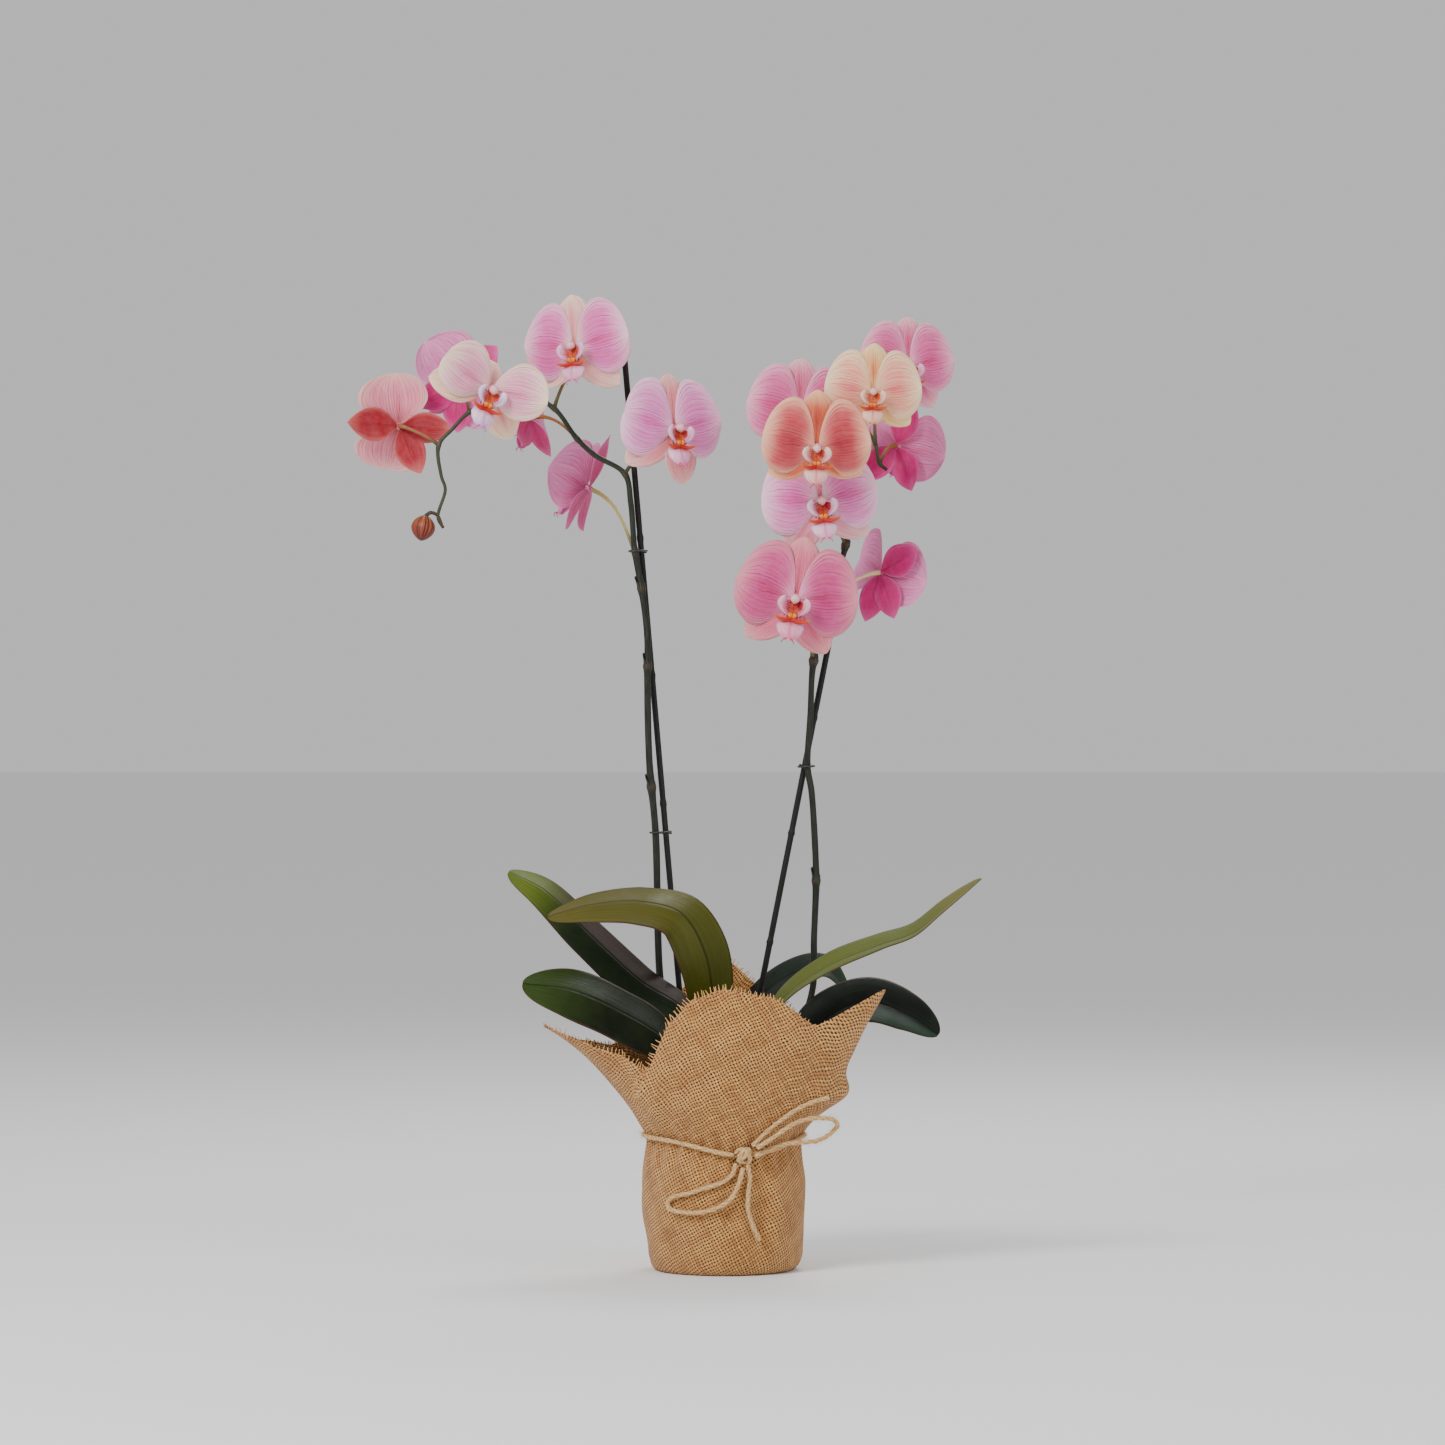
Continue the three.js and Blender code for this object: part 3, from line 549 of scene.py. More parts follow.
woven = bpy.data.node_groups.new("woven_jute", "ShaderNodeTree")
woven.interface.new_socket("Vector", in_out="INPUT", socket_type="NodeSocketVector")
woven.interface.new_socket("Pitch", in_out="INPUT", socket_type="NodeSocketFloat").default_value = 0.0024
for label in ("Height", "Hole", "Slub tone", "Fibre"):
    woven.interface.new_socket(label, in_out="OUTPUT", socket_type="NodeSocketFloat")
group_in, group_out = woven.nodes.new("NodeGroupInput"), woven.nodes.new("NodeGroupOutput")
cloth_place, pitch = group_in.outputs["Vector"], group_in.outputs["Pitch"]
wander = cloud(woven, cloth_place, 90.0, 3.0, out="Color")
moved = wander
for operation, value in (("SUBTRACT", (0.5, 0.5, 0.5)), ("MULTIPLY", (0.0035, 0.0035, 0.0)), ("ADD", cloth_place)):
    moved = node(woven, "ShaderNodeVectorMath", {0: moved, 1: value}, operation=operation).outputs[0]
axes = node(woven, "ShaderNodeSeparateXYZ", {0: moved})
threads = []
for axis in ("X", "Y"):
    count = calc(woven, "DIVIDE", axes.outputs[axis], pitch)
    index = calc(woven, "FLOOR", count)
    own = node(woven, "ShaderNodeTexWhiteNoise", {"W": index}, noise_dimensions="1D").outputs["Value"]
    wave = calc(woven, "SINE", times(woven, count, math.pi))
    threads.append((wave, calc(woven, "ABSOLUTE", wave), own))
(wave_x, thread_x, own_x), (wave_y, thread_y, own_y) = threads
over = times(woven, wave_x, wave_y)
warp = times(woven, calc(woven, "POWER", thread_x, 0.55), calc(woven, "MULTIPLY_ADD", over, 0.32, 0.62))
weft = times(woven, calc(woven, "POWER", thread_y, 0.55), calc(woven, "MULTIPLY_ADD", over, -0.32, 0.62))
surface = calc(woven, "MAXIMUM", warp, weft)
fat_x = calc(woven, "MULTIPLY_ADD", own_x, 0.42, 0.3)
fat_y = calc(woven, "MULTIPLY_ADD", own_y, 0.42, 0.3)
gap_x = remap(woven, thread_x, fat_x, calc(woven, "ADD", fat_x, 0.22), 1.0, 0.0)
gap_y = remap(woven, thread_y, fat_y, calc(woven, "ADD", fat_y, 0.22), 1.0, 0.0)
hole = times(woven, gap_x, gap_y)
fluff = cloud(woven, cloth_place, 2600.0, 3.0, 0.7)
patch = cloud(woven, cloth_place, 60.0, 2.0)
pair = calc(woven, "MULTIPLY_ADD", calc(woven, "ADD", own_x, own_y), 0.4, -0.4)
slub = calc(woven, "ADD", calc(woven, "MULTIPLY_ADD", patch, 0.8, 0.1), pair)
for label, value in (
    ("Height", calc(woven, "ADD", surface, times(woven, fluff, 0.25))),
    ("Hole", hole),
    ("Slub tone", slub),
    ("Fibre", fluff),
):
    woven.links.new(value, group_out.inputs[label])

jute, tree, shader = new_material("jute_cloth", Specular_IOR_Level=0.15, Sheen_Weight=0.15, Sheen_Roughness=0.6)
weave = node(tree, "ShaderNodeGroup", {}, node_tree=woven)
tree.links.new(uv_of(tree), weave.inputs["Vector"])
yarn = blend(tree, remap(tree, weave.outputs["Slub tone"], 0.1, 0.9), colour(156, 88, 34), colour(240, 176, 98))
# Painted highlight: the fine fibre fuzz is lightened towards pale straw.
yarn = blend(tree, remap(tree, weave.outputs["Fibre"], 0.35, 0.7, 0.0, 0.55), yarn, colour(252, 200, 126))
# Painted shade: the yarn darkens where the weave dips between its threads, and the holes are painted near black for
# the shade behind the cloth.
shade = blend(tree, remap(tree, weave.outputs["Height"], 0.42, 0.92, 0.9, 0.0), yarn, colour(78, 38, 12))
finish_surface(
    tree, shader,
    blend(tree, times(tree, weave.outputs["Hole"], 0.97), shade, colour(26, 12, 5)),
    weave.outputs["Fibre"], (0.85, 1.0), 0.0011, weave.outputs["Height"],
)

ROUND = 288
LOWER_ROWS, UPPER_ROWS = 40, 46
WEAVE_TURN = math.radians(-28)
grid = np.zeros((LOWER_ROWS + UPPER_ROWS, ROUND + 1, 3))
cloth_map = np.zeros((LOWER_ROWS + UPPER_ROWS, ROUND + 1, 2))
for j in range(ROUND + 1):
    angle = 360 * (j % ROUND) / ROUND + 180
    waist = waist_height(angle)
    top = cloth_edge(angle)[1]
    gone = CLOTH_BASE * MM
    for i in range(LOWER_ROWS + UPPER_ROWS):
        if i < LOWER_ROWS:
            z = waist * (i / LOWER_ROWS) ** 1.25
        else:
            z = waist + (top - waist) * (i - LOWER_ROWS) / (UPPER_ROWS - 1)
        grid[i, j] = on_cloth(angle, z, cloth_relief(angle, z) + 0.2)
        grid[i, j, 2] = max(grid[i, j, 2], 0.0009)
        if i:
            gone += np.linalg.norm(grid[i, j] - grid[i - 1, j])
        spread = 0.062 * (1 + 0.32 * max(0, z - 80) / 100)
        u, v = math.radians(360 * j / ROUND - 180) * spread, gone
        cloth_map[i, j] = (
            u * math.cos(WEAVE_TURN) - v * math.sin(WEAVE_TURN),
            u * math.sin(WEAVE_TURN) + v * math.cos(WEAVE_TURN),
        )
vertices = [grid[i, j] for i in range(len(grid)) for j in range(ROUND)]
faces, maps = [], []
for i in range(len(grid) - 1):
    for j in range(ROUND):
        k = (j + 1) % ROUND
        faces.append((i * ROUND + j, i * ROUND + k, (i + 1) * ROUND + k, (i + 1) * ROUND + j))
        maps.append([cloth_map[i, j], cloth_map[i, j + 1], cloth_map[i + 1, j + 1], cloth_map[i + 1, j]])
BASE_RINGS = 6
first = len(vertices)
for ring in range(1, BASE_RINGS):
    share = 1 - ring / BASE_RINGS
    vertices += [(grid[0, j, 0] * share, grid[0, j, 1] * share, 0.0009) for j in range(ROUND)]
vertices.append((0, 0, 0.0009))
for ring in range(BASE_RINGS - 1):
    outer = 0 if ring == 0 else first + (ring - 1) * ROUND
    inner = first + ring * ROUND
    for j in range(ROUND):
        k = (j + 1) % ROUND
        face = (outer + k, outer + j, inner + j, inner + k)
        faces.append(face)
        maps.append([(vertices[q][0], vertices[q][1]) for q in face])
last = first + (BASE_RINGS - 2) * ROUND
for j in range(ROUND):
    face = (last + (j + 1) % ROUND, last + j, len(vertices) - 1)
    faces.append(face)
    maps.append([(vertices[q][0], vertices[q][1]) for q in face])
cloth = mesh_piece("jute_cloth", vertices, faces, jute)
layer = cloth.data.uv_layers.new(name="surface")
layer.data.foreach_set("uv", np.asarray([pair for face in maps for pair in face], dtype=np.float32).ravel())
wall = cloth.modifiers.new("wall", "SOLIDIFY")
wall.thickness = 0.0007
wall.offset = 0
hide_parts("jute_wrap")
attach(cloth, "root")

# The frayed edge: loose ends of the threads that ran into the cut edge, about a weave's pitch apart.
yarn_end, tree, shader = new_material("jute_yarn", Specular_IOR_Level=0.15)
where = place_of(tree)
strands = cloud(tree, where, 900.0, 3.0)
finish_surface(
    tree, shader,
    blend(tree, remap(tree, strands, 0.35, 0.7), colour(176, 118, 62), colour(244, 202, 142)),
    strands, (0.8, 1.0), 0.0002,
)


FRAY = [
    (0, 0.95), (14, 0.7), (30, 0.5), (50, 0.4), (60, 0.0), (100, 0.0), (120, 0.4), (150, 0.9), (210, 0.9),
    (255, 0.6), (270, 0.8), (318, 1.0), (360, 0.95),
]


def thread_pattern(name, length_bits, thickness, bend):
    """A bent thread along +Z, 1 long and thickness across for that length, tapered at its end."""
    share = np.linspace(0, 1, length_bits + 1)
    line = np.column_stack([bend * share**2, 0.35 * bend * np.sin(share * 3.0), share])
    parts = Parts()
    add_tube(parts, line, thickness / 2 * (1 - 0.55 * share**3), tone_of(220, 180, 130), 5)
    return parts.make(name, yarn_end)


fray = thread_pattern("fray_pattern", 5, 0.16, 0.12)
random = np.random.default_rng(21)
edges = [(angle, cloth_edge(angle)[1] - 1.6, True) for angle in np.arange(0, 360, 0.5)]
edges += [(lap_angle(z) + 0.6, z, False) for z in np.arange(128, 151, 0.8)]
points, ways, sizes = [], [], []
last_spot = None
for angle, z, on_edge in edges:
    spot = on_cloth(angle, z, cloth_relief(angle, z) + 0.2)
    if last_spot is not None and np.linalg.norm(spot - last_spot) < 0.0020:
        continue
    last_spot = spot
    if on_edge:
        ahead = on_cloth(angle + 0.6, cloth_edge(angle + 0.6)[1] - 1.6, cloth_relief(angle + 0.6, z) + 0.2) - spot
        rise = spot - on_cloth(angle, z - 6, cloth_relief(angle, z - 6) + 0.2)
    else:
        ahead = on_cloth(lap_angle(z + 1) + 0.6, z + 1, 0) - on_cloth(lap_angle(z) + 0.6, z, 0)
        rise = on_cloth(angle - 4, z + 2, 0.8) - on_cloth(angle, z, 0.2)
    out = rise - ahead * rise.dot(ahead) / max(ahead.dot(ahead), 1e-12)
    out = out / np.linalg.norm(out)
    frayed = float(np.interp(angle, *zip(*FRAY)))
    if random.random() > 0.3 + frayed or frayed < 0.02:
        continue
    points.append(spot - out * 0.001)
    ways.append(out + 0.13 * random.normal(size=3))
    sizes.append((0.0056, 0.0056, (1.6 + (4.6 + 1.8 * random.random()) * frayed) * MM))
fringe = scatter(
    "jute_fringe", points, ways, sizes, fray, yarn_end, **{"Spread": 0.25, "Wobble": 0.0012, "Wobble scale": 260.0}
)
bpy.data.objects.remove(fray)
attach(fringe, "root")

# Twine: three hairy jute strands twisted together. It goes once round the waist, is tied at the front,
# and makes a bow with two loops and two tails.
TWINE = 3.4 * MM
TIE_OUT = 2.8
KNOT_HALF = 7
hemp, tree, shader = new_material("jute_twine", Specular_IOR_Level=0.2, Sheen_Weight=0.2, Sheen_Roughness=0.5)
where = uv_of(tree)
hairs = cloud(tree, stretched(tree, where, (900.0, 14.0, 1.0)), 1.0, 4.0, 0.7)
dye = cloud(tree, place_of(tree), 160.0, 3.0)
twine_tone = blend(tree, remap(tree, dye, 0.35, 0.7, 0.0, 0.5), tone_attribute(tree), colour(214, 158, 90))
# Painted shade: the twine darkens in streaks between its hairs.
finish_surface(
    tree, shader,
    blend(tree, remap(tree, hairs, 0.32, 0.58, 0.6, 0.0), twine_tone, colour(130, 84, 40)),
    hairs, (0.75, 0.95), 0.0006,
)


STRAW = colour(250, 220, 164)
# STRAW_SHADE is painted shade, laid in the grooves between the twine's strands and in the knot.
STRAW_SHADE = colour(170, 120, 64)


def twisted(along, around):
    turn = 3 * (around - along * 2 * math.pi / 0.019 - 0.5 * np.sin(along * 210))
    return 0.78 + 0.22 * np.abs(np.cos(turn / 2)) ** 0.7 + 0.06 * np.sin(along * 800 + 3 * around)


def twine_run(name, line):
    parts = Parts()
    share = np.linspace(0, 1, len(line))
    wander = 0.5 * (1 + 0.06 * np.sin(share * 41) + 0.05 * np.sin(share * 97 + 1))
    add_tube(parts, line, TWINE * wander, STRAW, 18, twisted, STRAW_SHADE)
    return parts.make(name, hemp)


def twine_hairs(name, lines, per_metre, long, seed):
    """Stray fibres that stand off the twine."""
    random = np.random.default_rng(seed)
    points, ways, sizes = [], [], []
    for line in lines:
        ahead, side, other = frames_along(line)
        for k in range(int(per_metre * 0.0008 * len(line))):
            i = int(random.integers(1, len(line) - 1))
            a = random.random() * 2 * math.pi
            out = math.cos(a) * side[i] + math.sin(a) * other[i]
            points.append(line[i] + out * TWINE * 0.42)
            ways.append(out + ahead[i] * random.normal() * 0.9)
            sizes.append((0.0012, 0.0012, long * (0.4 + 0.9 * random.random())))
    hair = thread_pattern(name + "_pattern", 4, 0.09, 0.5)
    curl = {"Spread": 0.8, "Wobble": 0.0012, "Wobble scale": 300.0}
    made = scatter(name, points, ways, sizes, hair, yarn_end, **curl)
    bpy.data.objects.remove(hair)
    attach(made, "root")
    return made


tie_points = []
for i in range(41):
    angle = KNOT_ANGLE + KNOT_HALF + (360 - 2 * KNOT_HALF) * i / 40
    tie_points.append(on_cloth(angle, waist_height(angle), TIE_OUT))
tie_line = run_through(tie_points, 0.0008)
tie = twine_run("twine_round_waist", tie_line)
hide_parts("twine_tie")
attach(tie, "root")
twine_hairs("twine_waist_fibres", [tie_line], 2600, 0.0042, 31)

knot_place = on_cloth(KNOT_ANGLE, waist_height(KNOT_ANGLE), 5.2)
knot_out = np.array((math.sin(math.radians(KNOT_ANGLE)), -math.cos(math.radians(KNOT_ANGLE)), 0))
knot_side = np.array((math.cos(math.radians(KNOT_ANGLE)), math.sin(math.radians(KNOT_ANGLE)), 0))
knot_up = np.array((0.0, 0.0, 1.0))
KNOT_SCALE = 1.35
knot_parts = Parts()
for turns in (
    [(-4.4, -1.6, 1.5), (-2.4, 0.8, 3.6), (0.6, 2.2, 2.2), (2.6, 2.0, -1.6), (2.0, 0.4, -3.6), (-0.6, -1.8, -3.0)],
    [(4.2, -1.8, 1.2), (2.2, 0.2, 3.4), (-0.8, 2.0, 3.0), (-3.0, 1.8, -0.4), (-2.6, 0.4, -2.8), (0.4, -0.8, -3.8)],
    [(-3.2, -1.5, -2.6), (-1.6, 1.6, -1.4), (0.2, 2.9, 0.4), (1.8, 1.8, 2.4), (2.6, -0.8, 3.6)],
):
    line = run_through(
        [knot_place + (x * knot_side + y * knot_out + z * knot_up) * KNOT_SCALE * MM for x, y, z in turns], 0.0006
    )
    add_tube(knot_parts, line, np.full(len(line), TWINE * 0.5), STRAW, 16, twisted, STRAW_SHADE)
knot = knot_parts.make("twine_bow_knot", hemp)
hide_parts("twine_knot")
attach(knot, "root")

BOW = {
    "loop_left": [
        (8, 84, 5), (6, 77, 4.5), (0, 71, 3.5), (-13, 66, 3), (-24, 62, 3), (-35, 59, 3.2), (-40, 55, 4),
        (-38, 50, 4.6), (-28, 48, 4.6), (-17, 48, 4.4), (-6, 51, 4.6), (4, 58, 5.4), (9, 68, 6.6), (12.5, 81, 7.6),
    ],
    "loop_right": [
        (21, 96, 9), (31, 104, 9), (38, 110, 9), (46, 115, 9), (56, 117, 14), (62, 115, 22), (66, 110, 26),
        (64, 104, 26), (57, 100, 24), (48, 99, 18), (38, 98, 10), (28, 93, 7.6), (21, 89.5, 7.4),
    ],
    "tail_down": [(16, 83, 6.5), (17.5, 74, 5), (16.5, 62, 3.4), (16.5, 50, 3), (20, 38, 3), (25, 27, 3.4)],
    "tail_up": [(19, 97.5, 5), (28, 108, 3.6), (36, 116, 3.2), (45, 124, 3), (53, 129, 3), (60, 132, 3.2)],
}
for k, (name, run) in enumerate(BOW.items()):
    line = run_through([on_cloth(angle, z, out) for angle, z, out in run], 0.0008)
    piece = twine_run("twine_" + name + "_cord", line)
    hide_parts("twine_" + name)
    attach(piece, "root")
    fibres = twine_hairs("twine_" + name + "_fibres", [line], 2800, 0.0044, 41 + k)
    length = float(np.sum(np.linalg.norm(np.diff(line, axis=0), axis=1)))


# Leaves: thick waxy straps with a sunk midrib, keeled along it. The upper left one is brown-purple on its
# inner half, and the long right one stands nearly on its edge.
def closed_sheet(parts, grid, thickness, front, back):
    """A thin closed blade over a grid of points. front faces along the cross of its rows and columns."""
    rows, columns = grid.shape[:2]
    normal = np.cross(np.gradient(grid, axis=0), np.gradient(grid, axis=1))
    size = np.linalg.norm(normal, axis=2, keepdims=True)
    normal = normal / np.where(size < 1e-12, 1, size)
    thickness = np.broadcast_to(np.asarray(thickness, dtype=float), (rows, columns))[:, :, None]
    vertices = np.vstack([(grid + normal * thickness * side).reshape(-1, 3) for side in (0.5, -0.5)])
    tones = np.vstack([np.broadcast_to(tone, (rows, columns, 3)).reshape(-1, 3) for tone in (front, back)])
    far = rows * columns
    faces, uvs = [], []

    def add(corners, flip):
        """A face through (row, column, layer) corners."""
        corners = corners[::-1] if flip else corners
        faces.append(tuple(layer * far + i * columns + j for i, j, layer in corners))
        uvs.append([(i / (rows - 1), j / (columns - 1)) for i, j, layer in corners])

    for i in range(rows - 1):
        for j in range(columns - 1):
            for layer in (0, 1):
                add([(i, j, layer), (i + 1, j, layer), (i + 1, j + 1, layer), (i, j + 1, layer)], layer == 1)
    edges = [(i, j, i + 1, j, j == 0) for i in range(rows - 1) for j in (0, columns - 1)]
    edges += [(i, j, i, j + 1, i > 0) for j in range(columns - 1) for i in (0, rows - 1)]
    for i, j, k, m, flip in edges:
        add([(i, j, 0), (k, m, 0), (k, m, 1), (i, j, 1)], flip)
    parts.add(vertices, tones, faces, uvs)


leaf_skin, tree, shader = new_material("waxy_leaf", Specular_IOR_Level=0.16, Coat_Weight=0.03, Coat_Roughness=0.3)
where = uv_of(tree)
across = node(tree, "ShaderNodeSeparateXYZ", {0: where})
middle = calc(tree, "ABSOLUTE", calc(tree, "SUBTRACT", across.outputs["Y"], 0.5))
rib = remap(tree, middle, 0.0, 0.03, 1.0, 0.0)
rim = remap(tree, middle, 0.462, 0.495, 0.0, 1.0)
long_grain = stretched(tree, where, (3.0, 46.0, 1.0))
veins = cloud(tree, long_grain, 1.0, 3.0, 0.6)
mottle = cloud(tree, place_of(tree), 90.0, 4.0)
leaf_tone = blend(tree, remap(tree, mottle, 0.4, 0.8, 0.0, 0.05), tone_attribute(tree), colour(104, 128, 48))
leaf_tone = blend(tree, remap(tree, veins, 0.35, 0.7, 0.0, 0.4), leaf_tone, colour(12, 22, 6))
leaf_tone = blend(tree, times(tree, rib, 0.5), leaf_tone, colour(20, 30, 10))
leaf_height = calc(tree, "SUBTRACT", times(tree, veins, 0.35), times(tree, rib, 0.9))
finish_surface(
    tree, shader,
    blend(tree, times(tree, rim, 0.8), leaf_tone, colour(64, 36, 24)),
    mottle, (0.4, 0.56), 0.0011, leaf_height,
)

def mixed(share, low, high):
    """Seen colours low and high mixed by an array of shares."""
    share = np.clip(share, 0, 1)[:, :, None]
    low, high = (tone_of(*tone) if isinstance(tone, tuple) else tone for tone in (low, high))
    return low * (1 - share) + high * share


# Each leaf: the run of its midrib, the way across it at its foot and tip, its width, and its tone at a
# share u along it and v across it.
LEAVES = {
    "leaf_upper_left": (
        [(-9, 7, 116), (-17, 7, 160), (-29, 6, 193), (-63, 5, 216), (-101, 5, 251), (-135, 6, 284), (-162, 6, 298)],
        [(0.35, 0.75, 0.5), (0.3, 0.75, 0.5)],
        44,
        lambda u, v: mixed(
            ease(u, 0.72, 0.95), mixed(ease(v, -0.05, 0.05), (12, 30, 2), (54, 34, 28)), (92, 108, 18)
        ),
    ),
    "leaf_arching": (
        [
            (-3, -13, 117), (-6, -24, 160), (-8, -35, 205), (-14, -43, 240), (-31, -47, 268), (-62, -48, 277),
            (-98, -48, 275), (-131, -48, 266),
        ],
        [(1, 0.1, 0), (0.1, 0.75, 0.5)],
        48,
        lambda u, v: mixed(u, mixed(0.5 + 0.5 * v, (34, 48, 0), (54, 70, 0)), (92, 84, 22)),
    ),
    "leaf_lower_left": (
        [(-14, -8, 114), (-26, -21, 146), (-44, -31, 174), (-77, -34, 195), (-114, -34, 211), (-150, -34, 216)],
        [(0.2, 0.7, 0.6), (0.1, 0.65, 0.75)],
        50,
        lambda u, v: mixed(ease(u, 0.6, 1.0), mixed(0.5 + 0.5 * v, (5, 12, 0), (14, 26, 0)), (44, 64, 4)),
    ),
    "leaf_upper_right": (
        [
            (10, -13, 116), (22, -24, 160), (44, -29, 203), (78, -33, 228), (117, -34, 244), (142, -34, 253),
            (165, -34, 272), (192, -34, 294),
        ],
        [(-0.1, 0.9, 0.35), (0, 0.98, 0.18)],
        42,
        lambda u, v: mixed(
            ease(u, 0.18, 0.4), (22, 32, 10), mixed(ease(u, 0.7, 1.0), (92, 100, 34), (116, 112, 56))
        ),
    ),
    "leaf_back_right": (
        [(5, 14, 116), (8, 40, 148), (25, 56, 196), (50, 58, 217), (76, 58, 223), (95, 56, 204)],
        [(-0.2, 0.8, 0.4), (0, 0.75, 0.55)],
        34,
        lambda u, v: mixed(ease(u, 0.6, 1.0), (5, 18, 11), (26, 50, 32)),
    ),
    "leaf_lower_right": (
        [(15, -1, 113), (38, -3, 142), (62, 2, 172), (85, 8, 192), (110, 11, 199), (137, 9, 190), (161, 4, 175)],
        [(-0.2, 0.7, 0.5), (0, 0.7, 0.7)],
        48,
        lambda u, v: mixed(ease(-v, 0.0, 0.5) * ease(u, 0.35, 0.8), (4, 14, 9), (22, 52, 34)),
    ),
}
LEAF_THICKNESS = 1.5 * MM


def leaf_half(u):
    widening = 0.3 + 0.7 * ease(u, 0, 0.55)
    return widening * np.sqrt(np.maximum(0.0, 1 - np.clip((u - 0.68) / 0.32, 0, 1) ** 2))


for k, (name, (spine, across, width, tones)) in enumerate(LEAVES.items()):
    line = run_through(np.array(spine) * MM, 0.0012)
    share = np.linspace(0, 1, 76)
    share = (1 - (1 - share) ** 1.25) * 0.9985
    steps = np.linspace(0, 1, len(line))
    line = np.column_stack([np.interp(share, steps, line[:, q]) for q in range(3)])
    ahead = np.gradient(line, axis=0)
    ahead /= np.linalg.norm(ahead, axis=1)[:, None]
    edge = np.outer(1 - share, across[0]) + np.outer(share, across[1])
    edge -= ahead * np.sum(edge * ahead, axis=1)[:, None]
    edge /= np.linalg.norm(edge, axis=1)[:, None]
    up = np.cross(ahead, edge)
    half = width / 2 * MM * leaf_half(share)
    v = np.linspace(-1, 1, 25)
    keel = 0.22 * np.sqrt(v**2 + 0.004) - 0.06 * v**4
    ripple = 0.02 * np.sin(share[:, None] * 17 + k + 1.4 * v[None, :]) * v[None, :] ** 2
    grid = (
        line[:, None, :]
        + edge[:, None, :] * (half[:, None] * v[None, :])[:, :, None]
        + up[:, None, :] * (half[:, None] * (keel[None, :] + ripple))[:, :, None]
    )
    shape = (len(share), len(v))
    u_all, v_all = np.broadcast_to(share[:, None], shape), np.broadcast_to(v[None, :], shape)
    tone = tones(u_all, v_all)
    parts = Parts()
    thick = LEAF_THICKNESS * (1 - 0.55 * v[None, :] ** 4) * (1 - 0.5 * share[:, None] ** 6)
    closed_sheet(parts, grid, thick, tone, tone)
    piece = parts.make(name + "_blade", leaf_skin)
    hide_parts(name)
    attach(piece, "root")

# Stakes: thin dark canes with faint joints, pushed into the bark behind the crown.
cane_skin, tree, shader = new_material("dark_cane", Specular_IOR_Level=0.3)
where = place_of(tree)
grain = stretched(tree, where, (900.0, 900.0, 40.0))
fibres = cloud(tree, grain, 1.0, 4.0)
finish_surface(
    tree, shader,
    blend(tree, remap(tree, fibres, 0.3, 0.75), colour(6, 6, 5), colour(26, 25, 22)),
    fibres, (0.38, 0.62), 0.0002,
)
STAKES = {
    "stake_left": ((-19.5, 38.5, 45), (-75.3, 13.7, 691), (0.13, 0.31, 0.47, 0.62, 0.78, 0.93)),
    "stake_right": ((-3.7, 34.6, 48), (86, 12, 505), (0.2, 0.43, 0.61, 0.8)),
}
for name, (foot, top, joints) in STAKES.items():
    foot, top = np.array(foot) * MM, np.array(top) * MM
    line = run_through([foot, (foot + top) / 2, top], 0.002)
    share = np.linspace(0, 1, len(line))
    thick = np.full(len(line), 2.3)
    for joint in joints:
        thick += 0.5 * bell((share - joint) / 0.0032) - 0.12 * bell((share - joint - 0.008) / 0.004)
    thick *= np.clip((1.004 - share) / 0.006, 0.55, 1)
    parts = Parts()
    add_tube(parts, line, thick * MM, tone_of(24, 24, 20), 14)
    piece = parts.make(name + "_cane", cane_skin)
    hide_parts(name)
    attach(piece, "root")

# Flower spikes: dark green stems with a papery sheath at each joint, and the paler stalks of the flowers.
stem_skin, tree, shader = new_material("spike_skin", Specular_IOR_Level=0.35)
where = place_of(tree)
grain = stretched(tree, where, (700.0, 700.0, 90.0))
flecks = cloud(tree, grain, 1.0, 4.0)
finish_surface(
    tree, shader,
    blend(tree, remap(tree, flecks, 0.4, 0.75, 0.0, 0.3), tone_attribute(tree), colour(70, 74, 50)),
    flecks, (0.35, 0.6), 0.0002,
)
SPIKES = {
    "left": dict(
        path=[
            (-10, 9, 103), (-27, 23, 140), (-42, 29, 180), (-48, 28, 215), (-51.5, 21.5, 327), (-56, 17, 379),
            (-57.5, 14, 436), (-57.5, 13, 474), (-62, 13, 511), (-67, 12.5, 539), (-70, 12, 575), (-74.5, 10, 597),
            (-97, 9, 611), (-110.5, 9, 623.5), (-127.5, 9, 646), (-150, 8, 657), (-181, 6, 646), (-191, 5, 643),
            (-204, 4, 630), (-214, 3, 618), (-212, 2, 595), (-209, 2, 585), (-214.5, 2, 564), (-210.5, 2, 556),
        ],
        radii=(2.9, 2.5, 1.2),
        joints=[362, 452, 511],
        tones=[
            (0.0, (14, 16, 9)), (0.55, (12, 16, 10)), (0.66, (20, 32, 18)), (0.85, (42, 56, 34)),
            (1.0, (58, 56, 36)),
        ],
    ),
    "right": dict(
        path=[
            (9, 10, 103), (33, 21, 148), (58, 25, 182), (67, 25, 209), (68, 22, 247), (69.5, 18, 291), (68.5, 15, 321),
            (66, 12, 358), (63, 11, 377), (65, 8, 414), (67.5, 4, 457), (80, 4, 504), (91.5, 10, 543), (96.5, 14, 580),
            (96, 13, 609), (94, 6, 645), (98, -1, 657), (104, -6, 650), (106, -8, 633), (113.5, -8, 618),
            (116.5, -8, 604), (122, -8, 599),
        ],
        radii=(2.6, 2.4, 1.2),
        joints=[291, 457, 543],
        tones=[
            (0.0, (12, 14, 9)), (0.6, (14, 17, 11)), (0.75, (24, 30, 18)), (0.92, (84, 106, 36)),
            (1.0, (30, 38, 14)),
        ],
    ),
}


